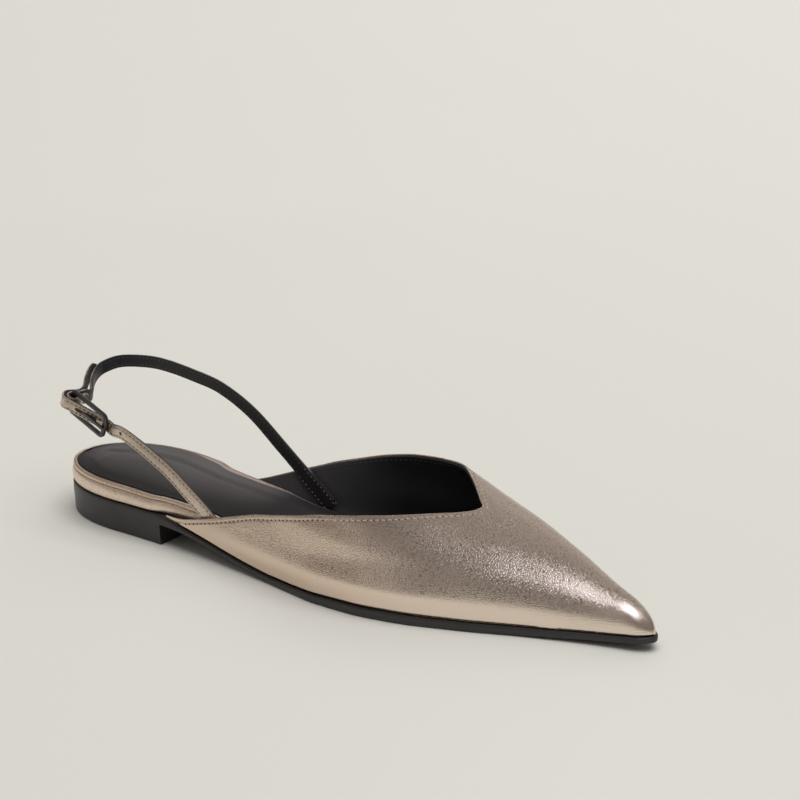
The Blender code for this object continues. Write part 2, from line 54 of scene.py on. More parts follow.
# Sizes of the solids
LENGTH = 269.0
CLEARANCE = 0.3
HEEL_ROUND = 37.3
HEEL_POWER = 2.1
TOE_ROUND = 6.0
BREAST = 60.3
HEEL_TAPER = 0.6
HEEL_TOP_INSET = 0.2
UPPER_INSET = 0.9
UPPER_START = 63.5
TOE_PUFF = 13.0
THROAT = (192.5, 1.2)
BED_END = 256.0
SOCK_END = 252.0
SOCK_THICK = 1.2
SOCK_PROUD = 0.3
STRAP_THICK = 1.4
FRAME_LENGTH = 22.0
FRAME_WIDTH = 10.8
BAR_WIDTH = 1.8
BAR_THICK = 1.6
FRAME_RADIUS = 1.6
PRONG_WIDTH = 1.5
PRONG_THICK = 0.9
PRONG_TIP = 1.4
TURN_PLAY = 0.4

# Sizes of what is added here
LEATHER = 0.65            # outer leather of the upper
WALL = 1.5                # leather and lining together
LINING_GAP = 0.04         # from the leather to the lining behind it
LINING_DROP = 0.35        # top of the lining below the folded edge
EDGE_BULGE = 0.3          # how far the round topline of the leather and of the lining stands up
LINING_BULGE = 0.2
TIP_SHARE = 0.12          # share of the wall's thickness at the pointed rear tips
TIP_LONG = 12.0           # full thickness this far ahead of the tips
CREASE_FADE = 14.0        # full creases this far ahead of the tips
CHANNEL = (0.16, 0.4)     # stitch channel: depth, half-width
FOLD_ROLL = (0.10, 0.9, 0.6)  # roll of the folded edge: rise, distance from the edge, half-width
FOLD_STEP = (0.05, 4.0, 2.5)  # layer turned in: rise, distance where it thins, length of that
TUCK = (0.8, 0.9)         # tuck at the sole: depth, height
TOPLINE_EASE = 4.0        # half-length over which the topline's corners are eased
THROAT_ROUND = 3.0        # length of the round point of the throat
STITCH_INSET = 1.65       # stitch row below the topline
STITCH_PITCH = 2.3
STITCH_START = 8.0        # first stitch ahead of the rear tips
STITCH_DIP = 0.12         # ends of a stitch below its middle
HOLE_TALL = 0.1           # height of a needle hole's disc of painted shade
HOLE_SUNK = 0.02          # its middle below the stitches
PALE_STITCHES = 150.0     # ahead of this the thread stands out more than its holes
REAR_SHADE_STRETCH = (125, 200)    # over this stretch the quarters' colour is darkened as painted shade
SMOOTH_LOW = (9, 17)      # heights between which the drawn-smooth grain becomes full
GRAINED_TOE = (195, 250)  # from here to there the low grain comes back in part
STRAP_LINING = 0.85       # black layer of a strap
SEAM_GAP = 0.01           # between its two layers
STRAP_CORNER = 0.38       # round edge of a strap's layer
STRAP_END = (1.6, 0.55)   # a free end draws in: over this length, to this share of the width
STRAP_GROOVE = 0.28       # half-width of a stitch groove
LEATHER_GROOVE = 0.12     # its depth in the leather and in the lining
LINING_GROOVE = 0.08
STRAP_STITCH_INSET = 0.95
STRAP_PITCH = 2.0
STITCH_SUNK = 0.06        # a strap's stitches below its face, outside and on the lining
LINING_STITCH_SUNK = 0.03
FOOT_HIGH = 14.0          # below this the long strap's foot shows no stitches
BAR_BARE = (-4.0, 9.0)    # nor does it round this place along the buckle, within this distance
FOLD_BARE = -12.0         # outside this y the short strap's fold shows none
PUNCHED_AT = 60.5         # hole in the long strap, along it from its foot
PUNCHED = (1.5, 1.4, 0.08)  # length, width and height of its disc of painted shade
SLOT = (-0.45, 0.03)      # underside and top of the strip of painted shade in the prong's slot, from the face
TAB_LONG = 20.0           # stitched tab at the inner end of the short strap
TAB_THICK = 0.4
TAB_WIDER = 0.7           # than the strap
CUSHION_STEP = 0.5        # the sock's middle below its padded border
CUSHION_BORDER = (4.5, 5.0)  # level border, and the soft step inside it
SOCK_INSETS = (2.5, 4.5)  # of the sock's outer and inner edge from the sole's, about
SOCK_BACK = 2.0           # the same at the back of the heel
SOCK_EDGE = 0.55          # how far the sock's round edge draws in
BOWL_POWER = 2.6          # flatness of the insole's hollow
STRAP_STEP = 0.8          # distance between the sections of a strap
SOLE_CORNER = 0.7         # round edge of the outsole
SHARP_CORNER = 0.06       # the same over the heel, so that the two blacks read as one block
CORNER_CHANGE = 14.0      # length ahead of the breast over which it becomes round
HEEL_CORNER = 0.45
HEEL_LAP = 0.05           # top of the heel block past the outsole's underside
HEEL_TOP_DRAW = 0.02      # inset of that top from the outsole's edge
METAL_CORNERS = (0.5, 0.3)  # round edges of the buckle's frame and prong
PRONG_EYE = (-60, 135)    # degrees that the prong turns round the hinge bar, from and to
PRONG_TAPER = 1.2         # length over which the prong's tip draws in

# Stitch rows: length, width and height of a stitch, and the width of the painted-shade disc in the hole
# between two
PLAIN_ROW = ((1.4, 0.40, 0.34), 0.75)
PALE_ROW = ((1.75, 0.5, 0.42), 0.45)
LINING_ROW = ((1.5, 0.4, 0.3), 0.5)
STRAP_ROW = ((1.2, 0.34, 0.3), 0.80)
STRAP_LINING_ROW = ((1.2, 0.36, 0.3), 0.5)
TAB_ROW = ((1.1, 0.4, 0.32), 0.5)

# Numbers of steps in the grids
RING_STEPS = 170
STATIONS_BEHIND = 150
STATIONS_AHEAD = 110
WALL_ROWS = 64
RIM_STEPS = 8
CORNER_STEPS = 6
SECTION_STEPS = 25
HALVINGS = 40

SMALL_T = 1e-4    # step on a section of the last, for its speed
WELD = 1e-7       # metres
SHARP_ANGLE = 48  # degrees between faces past which an edge is sharp


def table(columns, rows):
    """Columns of a short table by name."""
    return dict(zip(columns.split(), np.array(rows, dtype=float).T))


# Outsole: half-widths before the ends are rounded, the axis they close on, heights of its two faces
SOLE = table("x lateral medial axis top bottom", [
    (0, 24.1, 24.1, 0, 12.4, 8.6),
    (37, 24.3, 24.0, 0, 12.4, 8.6),
    (60, 25.5, 22.2, 0, 12.2, 8.6),
    (72, 26.6, 21.3, 0, 10.0, 7.8),
    (84, 27.9, 20.6, 0, 7.8, 6.1),
    (96, 29.4, 20.9, 0, 5.6, 4.1),
    (108, 31.2, 22.4, 0, 3.9, 2.4),
    (120, 33.2, 25.4, 0, 2.9, 1.1),
    (132, 35.6, 29.0, 0, 2.8, 0.3),
    (145, 37.9, 32.4, 0, 3.2, 0),
    (160, 38.3, 35.0, 0, 3.5, 0),
    (175, 36.4, 35.8, 0, 3.5, 0),
    (200, 28.9, 31.6, 0, 3.3, 0),
    (225, 19.0, 21.4, -0.5, 3.4, 0.5),
    (248, 11.4, 10.6, -1.4, 4.2, 1.7),
    (269, 6.2, 2.2, -2.2, 5.6, 3.2),
])

# Footbed: insets from the outsole's edge, insets of the insole from the footbed, height of the rim
BED = table("x lateral medial sock_lateral sock_medial rim", [
    (0, 0.3, 0.3, 1.8, 1.8, 20.4),
    (40, 0.3, 0.3, 1.7, 2.4, 20.0),
    (54, 0.8, 0.5, 1.7, 3.6, 19.4),
    (62, 3.0, 2.6, 1.7, 3.6, 18.9),
    (76, 4.6, 3.2, 1.7, 3.2, 18.0),
    (92, 5.3, 3.2, 1.7, 2.4, 16.2),
    (106, 4.4, 3.2, 1.7, 1.8, 12.8),
    (120, 3.4, 3.2, 1.7, 1.7, 10.2),
    (150, 3.4, 3.2, 1.7, 1.7, 8.6),
    (200, 3.4, 3.2, 1.7, 1.7, 8.0),
    (269, 3.4, 3.2, 1.7, 1.7, 9.4),
])

# Footbed's covered side from the sole up: inset, share of the height to the rim, drop below it
BED_SIDE = table("inset share drop", [
    (1.0, 0, 0),
    (0.3, 0.03, 0),
    (-0.2, 0.12, 0),
    (-0.5, 0.35, 0),
    (-0.4, 0.55, 0),
    (-0.1, 0.69, 0),
    (0.25, 0.735, 0),
    (0.75, 0.76, 0),
    (0.2, 0.785, 0),
    (-0.05, 0.83, 0),
    (0.1, 0.92, 0),
    (0.5, 0.98, 0),
    (1.1, 1, 0.02),
    (1.5, 1, 0.1),
])

# Dish of the insole below the footbed's rim, in the middle of the foot
DISH = table("x depth", [(0, 0.5), (25, 1.6), (45, 1.6), (75, 0.7), (130, 0.3), (269, 0.2)])

# Last: crest of the section, outward lean of each wall at the feather edge, fullness of side and roof
LAST = table("x crest_y crest_z lean_lateral lean_medial side roof", [
    (60, 2.0, 80.0, 0.05, 0.40, 0.60, 0.80),
    (90, 3.0, 76.0, 0.06, 0.45, 0.60, 0.80),
    (120, 4.0, 68.0, 0.08, 0.32, 0.62, 0.80),
    (150, 6.0, 55.0, 0.08, 0.12, 0.66, 0.80),
    (175, 8.0, 43.5, 0.06, 0.06, 0.68, 0.72),
    (192.5, 8.5, 36.9, 0.05, 0.05, 0.68, 0.66),
    (210, 7.5, 31.8, 0.05, 0.05, 0.68, 0.62),
    (230, 5.0, 25.6, 0.05, 0.05, 0.68, 0.60),
    (250, 1.4, 18.6, 0.05, 0.05, 0.68, 0.60),
    (269, -2.2, 13.6, 0.05, 0.05, 0.68, 0.60),
])

# Topline: angle from upright, seen along the shoe from the throat's axis at the feather edge
TOPLINE = table("x lateral medial", [
    (60, 90, 88),
    (70, 85, 79),
    (83, 74, 64),
    (97, 63.5, 52.5),
    (112, 56, 45),
    (128, 52.5, 42),
    (142, 50, 40),
    (158, 46, 38),
    (166, 42, 34),
    (176, 34, 24),
    (185, 22, 13),
    (190.5, 11, 4.5),
    (192.5, 0, 0),
])

# Soft creases along the upper: a place on the wall (x, height along it), half-length, half-width,
# and how far each stands out on the outer and on the inner side (minus is a trough)
CREASES = table("x high long wide outer inner", [
    (138, 6.5, 55, 5.0, 0.90, 0.70),
    (160, 17.0, 36, 5.5, -0.80, -0.60),
    (108, 24.0, 22, 9.0, -1.00, -0.60),
])

# Straps: centre line through listed points, with the width of the strap at each point
LATERAL_RUN = [
    (92.0, -25.3, 10.6, 6.2),
    (84.8, -24.9, 16.6, 6.0),
    (78.0, -25.0, 22.3, 5.6),
    (66.2, -25.0, 31.0, 5.2),
    (58.1, -25.0, 35.5, 5.0),
    (50.0, -25.0, 39.5, 5.0),
    (42.0, -24.4, 42.2, 5.0),
]
TAIL_RUN = [
    (11.0, -14.6, 49.4, 5.0),
    (8.4, -8.6, 48.6, 5.0),
    (4.0, -2.4, 48.2, 5.0),
    (-0.4, 3.4, 48.0, 5.0),
    (-3.8, 9.4, 49.0, 5.0),
    (-4.4, 14.0, 50.8, 4.8),
]
MEDIAL_RUN = [
    (12.2, -8.4, 47.8, 5.0),
    (6.6, -1.6, 47.4, 5.0),
    (0.6, 6.0, 47.6, 5.0),
    (-2.2, 11.6, 48.8, 5.0),
    (-1.8, 16.0, 50.5, 5.0),
    (3.8, 20.2, 52.9, 5.0),
    (16.2, 21.8, 54.6, 5.0),
    (27.0, 21.8, 54.8, 5.0),
    (40.2, 22.0, 53.2, 5.0),
    (54.2, 22.2, 50.4, 5.0),
    (69.0, 23.0, 42.7, 5.2),
    (83.6, 23.2, 31.2, 5.6),
    (94.2, 22.3, 23.6, 6.0),
    (104.2, 21.5, 16.6, 6.2),
    (109.6, 21.2, 12.2, 6.2),
]

# Buckle: middle of the frame and the way its long side points, front bar to hinge bar
BUCKLE_CENTRE = np.array([22.8, -22.2, 46.0])
BUCKLE_REARWARD = np.array([-0.935, 0.150, 0.320])
STRAP_PASS = [(0.5, 0.9), (7.1, 2.7)]
PRONG_PASS = [(7.1, 1.1), (4.1, 1.15)]
PRONG_LEVEL = (0.1, -4.9)
PRONG_HOLE = (-5.5, 5.8)
FOLD_TAIL = 7.0
BUCKLE_REACH = 15.0
UPRIGHT_FROM = 30.0

# Photograph: where its camera stands, the way it looks, its lens and its sensor
CAMERA_PLACE = np.array([697.0, -773.9, 391.8])
CAMERA_WAY = (-0.5421, 0.7764, -0.3214)
CAMERA_LENS = 121.5
CAMERA_SENSOR = 36.0

# Stage: the floor, the picture's directions on it, and the light
FLOOR_WIDE = 9000.0
FLOOR_DROP = 0.05          # below the sole
PICTURE_RIGHT = np.array([0.8199, 0.5725, 0])
PICTURE_TOWARD = np.array([0.5725, -0.8199, 0])
LAMP = (1.0, 0.99, 0.97)   # tint of the lamps
ROOM = (1.0, 0.92, 0.88)   # tint of the light from the walls
COOL = (0.92, 0.96, 1.10)  # tint of the light over the toe
ROOM_GLOW = 0.20           # strength of the light from all round


def smooth(x, columns, name):
    """Value at x of a tabled column, on a cubic that never overshoots its rows."""
    at, value = columns["x"], columns[name]
    gap = np.diff(at)
    slope = np.diff(value) / gap
    before, after = slope[:-1], slope[1:]
    same_way = before * after > 0
    mean = np.where(same_way, before * after, 0) * (gap[:-1] + gap[1:])
    share = np.where(same_way, gap[:-1] * before + gap[1:] * after, 1)
    tangent = np.concatenate([slope[:1], mean / share, slope[-1:]])
    k = np.clip(np.searchsorted(at, x, side="right") - 1, 0, len(gap) - 1)
    t = np.clip((x - at[k]) / gap[k], 0, 1)
    rise = t * t * (3 - 2 * t)
    lead = t * (1 - t) ** 2
    lag = t * t * (t - 1)
    bend = gap[k] * (tangent[k] * lead + tangent[k + 1] * lag)
    return value[k] + (value[k + 1] - value[k]) * rise + bend


def spread(first, last, count):
    """Stations from first to last, closer together at both ends."""
    turn = np.linspace(0, np.pi, count)
    return first + (last - first) * (1 - np.cos(turn)) / 2


def unit(vectors):
    """Vectors of length one; a vector of no length stays as it is."""
    return vectors / np.maximum(np.linalg.norm(vectors, axis=-1, keepdims=True), 1e-12)


def step_up(value):
    """Soft step from 0 to 1."""
    t = np.clip(value, 0, 1)
    return t * t * (3 - 2 * t)


# Place of the last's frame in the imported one, read from the outsole's back and the heel's breast
def last_shift():
    """Millimetres to add to a point of the last's frame."""
    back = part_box("outsole")[0].x / MM
    breast_half = float(smooth(np.array([BREAST]), SOLE, "lateral")[0]) - HEEL_TOP_INSET
    return np.array([back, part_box("heel")[0].y / MM + breast_half, 0.0])


SHIFT = last_shift()


def place(points):
    """Points of the last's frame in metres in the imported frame."""
    return (np.asarray(points, dtype=float) + SHIFT) * MM


# Meshes from grids
def grid_faces(rows, columns, wrap=False, start=0):
    """Quads of a grid whose points are numbered row by row; wrap joins the last column to the first."""
    low = np.arange(rows - 1)[:, None] * columns
    left = np.arange(columns if wrap else columns - 1)[None, :]
    right = (left + 1) % columns
    high = low + columns
    quads = np.stack([low + left, low + right, high + right, high + left], axis=-1)
    return quads.reshape(-1, 4) + start


def joined(grids):
    """Points and faces of several grids as one list; each grid is (points, wrap)."""
    points, faces, start = [], [], 0
    for grid, wrap in grids:
        rows, columns = grid.shape[:2]
        points.append(grid.reshape(-1, 3))
        faces.append(grid_faces(rows, columns, wrap, start))
        start += rows * columns
    return np.vstack(points), np.vstack(faces)


def add_object(name, data):
    """A new object of the scene with this data."""
    obj = bpy.data.objects.new(name, data)
    bpy.context.scene.collection.objects.link(obj)
    return obj


def make_piece(name, points, faces, finish, slot, stands_for=None):
    """One smooth-shaded piece from points in the last's frame and quads, welded and turned outwards."""
    mesh = bpy.data.meshes.new(name)
    mesh.vertices.add(len(points))
    mesh.vertices.foreach_set("co", place(points).astype(np.float32).ravel())
    mesh.loops.add(faces.size)
    mesh.loops.foreach_set("vertex_index", faces.astype(np.int32).ravel())
    mesh.polygons.add(len(faces))
    mesh.polygons.foreach_set("loop_start", np.arange(0, faces.size, 4, dtype=np.int32))
    mesh.update(calc_edges=True)
    bm = bmesh.new()
    bm.from_mesh(mesh)
    bmesh.ops.remove_doubles(bm, verts=bm.verts, dist=WELD)
    bmesh.ops.dissolve_degenerate(bm, edges=bm.edges, dist=WELD)
    bmesh.ops.recalc_face_normals(bm, faces=bm.faces)
    bm.to_mesh(mesh)
    bm.free()
    mesh.shade_smooth()
    mesh.set_sharp_from_angle(angle=np.radians(SHARP_ANGLE))
    mesh.materials.append(finish)
    obj = add_object(name, mesh)
    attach(obj, "root")
    if stands_for:
        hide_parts(stands_for)
    return obj


# Finishes
def socket_name(key):
    """Name of a node's socket from a plain key: coat_weight is Coat Weight."""
    return key.replace("_", " ").title()


def shader_of(name, colour, roughness, metallic=0.0, **sockets):
    """A new finish with its shader set; sockets are further values by the socket's name."""
    finish = bpy.data.materials.new(name)
    finish.use_nodes = True
    shader = finish.node_tree.nodes["Principled BSDF"]
    shader.inputs["Base Color"].default_value = (*colour, 1.0)
    shader.inputs["Roughness"].default_value = roughness
    shader.inputs["Metallic"].default_value = metallic
    for key, value in sockets.items():
        shader.inputs[socket_name(key)].default_value = value
    return finish, shader


def add_node(finish, kind, **values):
    """A node of the finish; values set its properties, or its inputs where it has no such property."""
    node = finish.node_tree.nodes.new(kind)
    for key, value in values.items():
        if hasattr(node, key):
            setattr(node, key, value)
        else:
            node.inputs[socket_name(key)].default_value = value
    return node


def link(finish, source, target):
    """Joins a node's output to a node's input."""
    finish.node_tree.links.new(source, target)


def object_coordinates(finish):
    """The object's own coordinates, in metres."""
    return add_node(finish, "ShaderNodeTexCoord").outputs["Object"]


def texture(finish, kind, output, **values):
    """One output of a texture on the object's own coordinates, its scale per metre."""
    node = add_node(finish, kind, **values)
    link(finish, object_coordinates(finish), node.inputs["Vector"])
    return node.outputs[output]


def noise(finish, scale, detail=2.0, roughness=0.5):
    """Cloudy noise."""
    return texture(finish, "ShaderNodeTexNoise", "Fac", scale=scale, detail=detail, roughness=roughness)


def cells(finish, scale, softness):
    """Domed cells like the pebbles of leather grain: distance to the nearest seed."""
    return texture(finish, "ShaderNodeTexVoronoi", "Distance",
                   feature="SMOOTH_F1", scale=scale, smoothness=softness)


def mapped(finish, source, **values):
    """The source brought from one range of values to another."""
    node = add_node(finish, "ShaderNodeMapRange", **values)
    link(finish, source, node.inputs["Value"])
    return node.outputs["Result"]


def grooves(finish, scale, wide):
    """Level pebbles with narrow grooves between them: 0 in a groove's middle, 1 beyond its width."""
    distance = texture(finish, "ShaderNodeTexVoronoi", "Distance",
                       feature="DISTANCE_TO_EDGE", scale=scale)
    return mapped(finish, distance, interpolation_type="SMOOTHSTEP", from_max=wide)


def math_of(finish, operation, first, second):
    """First and second, each a number or a node's output, joined by one operation."""
    node = add_node(finish, "ShaderNodeMath", operation=operation)
    for k, value in enumerate((first, second)):
        if isinstance(value, (int, float)):
            node.inputs[k].default_value = value
        else:
            link(finish, value, node.inputs[k])
    return node.outputs[0]


def ramp(finish, source, low, high):
    """Colour from low to high; each is (position, colour)."""
    node = add_node(finish, "ShaderNodeValToRGB")
    for stop, (position, colour) in zip(node.color_ramp.elements, (low, high)):
        stop.position = position
        stop.color = (*colour, 1.0)
    link(finish, source, node.inputs["Fac"])
    return node.outputs["Color"]


def between(finish, source, low, high):
    """A value from low to high as the source goes from 0 to 1."""
    return mapped(finish, source, to_min=low, to_max=high)


def bumped(finish, shader, height, depth):
    """Raises the surface by the height, depth in metres at height 1."""
    node = add_node(finish, "ShaderNodeBump", strength=1.0, distance=depth)
    link(finish, height, node.inputs["Height"])
    link(finish, node.outputs["Normal"], shader.inputs["Normal"])


def change_along(finish, axis, stretch, low=0.0, high=1.0):
    """A value from low to high over a stretch, in the last's millimetres, of the axis X, Y or Z."""
    split = add_node(finish, "ShaderNodeSeparateXYZ")
    link(finish, object_coordinates(finish), split.inputs[0])
    first, last = ((value + SHIFT["XYZ".index(axis)]) * MM for value in stretch)
    return mapped(finish, split.outputs[axis], interpolation_type="SMOOTHSTEP",
                  from_min=first, from_max=last, to_min=low, to_max=high)


def toned(finish, colour, axis, stretch, before, after):
    """Colour multiplied by one tint before a stretch of an axis, and by another one beyond it."""
    tone = ramp(finish, change_along(finish, axis, stretch), (0.0, before), (1.0, after))
    product = add_node(finish, "ShaderNodeMix", data_type="RGBA", blend_type="MULTIPLY", factor=1.0)
    link(finish, colour, product.inputs["A"])
    link(finish, tone, product.inputs["B"])
    return product.outputs["Result"]


def shaded(colour, share):
    """Colour made darker or lighter."""
    return tuple(share * c for c in colour)


def dressed(finish, shader, tint, rough=None):
    """The finish with its shader's colour linked, and its roughness where that changes."""
    link(finish, tint, shader.inputs["Base Color"])
    if rough is not None:
        link(finish, rough, shader.inputs["Roughness"])
    return finish


# Grain of the metallic leather: width of its grooves to its own size, their painted shade and where it
# begins, and the share of the grain that is left low on the wall and comes back at the toe
GROOVE_WIDE = 0.22
GROOVE_SHADE = 0.64
GROOVE_FROM = 0.4
LOW_GRAIN = 0.25
TOE_GRAIN = 0.6


def metallic_leather(name, colour, grain, depth, roughness, tones=(), drawn=False):
    """Foil-finished leather: pebbled grain of this size in mm, painted darker in its valleys as shade,
    rough by patches.

    Each of the tones is what toned() needs: an axis, a stretch and two tints. On the upper, which is
    drawn over the last, the grain is smooth low on the wall and less so at the toe.
    """
    finish, shader = shader_of(name, colour, roughness, 1.0)
    groove = math_of(finish, "SUBTRACT", 1.0, grooves(finish, 1000 / grain, GROOVE_WIDE))
    if drawn:
        low = change_along(finish, "Z", SMOOTH_LOW, LOW_GRAIN, 1.0)
        toe = change_along(finish, "X", GRAINED_TOE, 0.0, TOE_GRAIN)
        groove = math_of(finish, "MULTIPLY", groove, math_of(finish, "MAXIMUM", low, toe))
    fine = noise(finish, 1800 / grain, 2.0, 0.6)
    broad = noise(finish, 55.0, 2.0)
    height = math_of(finish, "SUBTRACT", math_of(finish, "MULTIPLY", fine, 0.25), groove)
    bumped(finish, shader, height, depth)
    # painted shade: the colour darkens into the grain's grooves
    tint = ramp(finish, groove, (GROOVE_FROM, colour), (1.0, shaded(colour, GROOVE_SHADE)))
    # painted shade laid on by the tones
    for tone in tones:
        tint = toned(finish, tint, *tone)
    return dressed(finish, shader, tint, between(finish, broad, roughness - 0.04, roughness + 0.04))


def black_leather(name, colour, grain, depth, roughness, coat, tones=(), dulled=()):
    """Dyed lining leather: fine grain, a little worn shine, with painted shade and sheen laid on like the
    metallic one.

    Where it has been trodden dull, each change along an axis in dulled adds to the roughness.
    """
    finish, shader = shader_of(name, colour, roughness, coat_weight=coat, coat_roughness=0.35)
    pebbles = cells(finish, 1000 / grain, 0.5)
    fine = noise(finish, 4000 / grain, 3.0, 0.6)
    height = math_of(finish, "SUBTRACT", math_of(finish, "MULTIPLY", fine, 0.4), pebbles)
    bumped(finish, shader, height, depth)
    broad = noise(finish, 40.0, 3.0)
    tint = ramp(finish, broad, (0.3, colour), (0.8, shaded(colour, 1.35)))
    # painted shade and sheen laid on by the tones
    for tone in tones:
        tint = toned(finish, tint, *tone)
    rough = between(finish, broad, roughness - 0.06, roughness + 0.08)
    for change in dulled:
        rough = math_of(finish, "ADD", rough, change_along(finish, *change))
    return dressed(finish, shader, tint, rough)


def sole_black(name, colour, roughness):
    """Dyed and waxed sole edge: fine cloudy fibres, satin."""
    finish, shader = shader_of(name, colour, roughness, coat_weight=0.15, coat_roughness=0.3)
    fibres = noise(finish, 900.0, 4.0, 0.6)
    broad = noise(finish, 60.0, 2.0)
    bumped(finish, shader, fibres, 0.00003)
    tint = ramp(finish, broad, (0.3, colour), (0.8, shaded(colour, 1.5)))
    return dressed(finish, shader, tint, between(finish, fibres, roughness - 0.08, roughness + 0.1))


def gunmetal_plating():
    """Dark plated metal with a faint fine texture, its colour and gloss uneven by patches."""
    finish, shader = shader_of("gunmetal_plating", (0.10, 0.10, 0.105), 0.34, 1.0)
    bumped(finish, shader, noise(finish, 2500.0, 3.0, 0.6), 0.00001)
    tint = ramp(finish, noise(finish, 120.0), (0.3, (0.085, 0.085, 0.09)), (0.7, (0.125, 0.122, 0.12)))
    return dressed(finish, shader, tint, between(finish, noise(finish, 250.0), 0.27, 0.42))


def thread(name, colour):
    """Sewing thread: fine fuzzy strands, painted darker between them as shade."""
    finish, shader = shader_of(name, colour, 0.55, sheen_weight=0.2)
    strands = noise(finish, 6000.0, 2.0)
    bumped(finish, shader, strands, 0.00004)
    # painted shade: the colour darkens between the strands
    return dressed(finish, shader, ramp(finish, strands, (0.35, shaded(colour, 0.7)), (0.65, colour)))


def pale_floor():
    """Plain pale studio floor with the faintest mottling."""
    finish, shader = shader_of("pale_floor", (0.81, 0.81, 0.765), 0.7)
    tint = ramp(finish, noise(finish, 2.0), (0.2, (0.80, 0.802, 0.757)), (0.8, (0.82, 0.820, 0.775)))
    return dressed(finish, shader, tint)


# Painted shade and sheen along the shoe and across it, and where the sock is trodden dull
PLAIN = (1.0, 1.0, 1.0)
# painted shade: the upper's quarters darkened behind the vamp
PAINTED_SHADE_REAR = ("X", REAR_SHADE_STRETCH, (0.90, 0.85, 0.81), PLAIN)
# painted shade: the footbed's rim darker on the inner side
PAINTED_SHADE_INNER_RIM = ("Y", (2, 17), PLAIN, (0.52, 0.52, 0.55))
# painted sheen and shade: the lining lighter at the rear, darker deep in the toe
LINING_SHEEN_AND_SHADE = ("X", (95, 142), PLAIN, (0.16, 0.16, 0.16))
# painted shade and sheen: the sock darker on the outer side, lighter on the inner one
SOCK_SHEEN_AND_SHADE = ("Y", (-17, 16), (0.20, 0.20, 0.20), PLAIN)
# painted shade: the sock darker towards the toe, under the vamp
SOCK_SHADE_FRONT = ("X", (50, 110), PLAIN, (0.5, 0.5, 0.5))
TRODDEN = (("Y", (-17, 16), 0.20, 0.0), ("X", (50, 110), 0.0, 0.12))

# Each leather: colour, size of its grain in mm, depth of the grain in metres, roughness
bronze_leather = metallic_leather("bronze_leather", (0.83, 0.71, 0.605), 0.80, 0.000034, 0.20,
                                  [PAINTED_SHADE_REAR], drawn=True)
bronze_cover = metallic_leather("bronze_cover", (0.95, 0.79, 0.65), 0.7, 0.00002, 0.34, [PAINTED_SHADE_INNER_RIM])
strap_leather = metallic_leather("strap_leather", (0.76, 0.64, 0.53), 0.7, 0.00002, 0.30)
# painted sheen and shade: the lining's black is lighter than the strap lining's, and darkens ahead into
# the shade deep in the toe
lining_leather = black_leather("lining_leather", (0.064, 0.063, 0.070), 0.6, 0.00004, 0.5, 0.1,
                               [LINING_SHEEN_AND_SHADE])
strap_lining = black_leather("strap_lining", (0.016, 0.016, 0.018), 0.6, 0.00004, 0.5, 0.1)
# painted sheen and shade: the sock's black is lighter on its inner side and darker on its outer side and
# towards the toe
sock_leather = black_leather("sock_leather", (0.040, 0.038, 0.040), 0.55, 0.00003, 0.32, 0.0,
                             [SOCK_SHEEN_AND_SHADE, SOCK_SHADE_FRONT], TRODDEN)
sole_edge = sole_black("sole_edge", (0.017, 0.016, 0.016), 0.42)
heel_edge = sole_black("heel_edge", (0.014, 0.013, 0.014), 0.42)
gunmetal = gunmetal_plating()
bronze_thread = thread("bronze_thread", (0.66, 0.54, 0.45))
strap_thread = thread("strap_thread", (0.52, 0.43, 0.35))
black_thread = thread("black_thread", (0.07, 0.07, 0.074))
grey_thread = thread("grey_thread", (0.30, 0.29, 0.28))
# painted shade: dark discs and strips that stand for the shade in needle holes, the punched hole and the
# prong's slot
hole_shade = thread("hole_shade", (0.012, 0.010, 0.009))


# Sole pieces: rings round the foot
def edge_y(x, side, inset, end):
    """Place of an edge across the shoe: outline less inset, closing on the axis at heel and toe."""
    back = np.clip((HEEL_ROUND - x) / (HEEL_ROUND - np.min(inset)), 0, 1)
    front = np.clip((x - end) / TOE_ROUND + 1, 0, 1)
    open_share = (1 - back ** HEEL_POWER) ** (1 / HEEL_POWER) * np.sqrt(1 - front ** 2)
    way = -1 if side == "lateral" else 1
    axis = smooth(x, SOLE, "axis")
    return axis + (way * (smooth(x, SOLE, side) - inset) - axis) * open_share


def ring(inset, height, end, follow=()):
    """Closed edge: from the back of the heel along the outer side to the toe, back along the inner one.

    The inset from the outsole's edge is a number or a function of x, plus the footbed's columns whose
    prefixes are given.
    """
    def total(x, side):
        own = inset(x) if callable(inset) else inset
        return own + sum((smooth(x, BED, prefix + side) for prefix in follow), 0 * x)

    def edge(x, side):
        return np.stack([x, edge_y(x, side, total(x, side), end), height(x)], axis=1)

    x = spread(float(total(np.zeros(1), "lateral")[0]), end, RING_STEPS)
    return np.vstack([edge(x, "lateral"), edge(x, "medial")[-2:0:-1]])


def lid(edge, across, sag=None):
    """Grid of straight cross strips from a ring's outer to its inner edge, sagging by sag(x, share)."""
    half = len(edge) // 2
    left = edge[:half + 1]
    right = edge[-np.arange(half + 1)]
    share = np.linspace(0, 1, across + 1)[None, :, None]
    grid = left[:, None] + (right - left)[:, None] * share
    if sag:
        grid[..., 2] -= sag(grid[..., 0], share[..., 0])
    return grid


def lofted(rings, across=16, sag_top=None, sag_bottom=None):
    """Closed skin through rings from bottom to top, both ends closed by cross strips."""
    rings = np.array(rings)
    bottom = lid(rings[0], across, sag_bottom)
    top = lid(rings[-1], across, sag_top)
    return joined([(rings, True), (bottom, False), (top, False)])


def sole_top(x):
    """Height of the outsole's upper face."""
    return smooth(x, SOLE, "top")


def sole_bottom(x):
    """Height of the outsole's underside."""
    return smooth(x, SOLE, "bottom")


def rim(x):
    """Height of the footbed's rolled rim."""
    return smooth(x, BED, "rim")


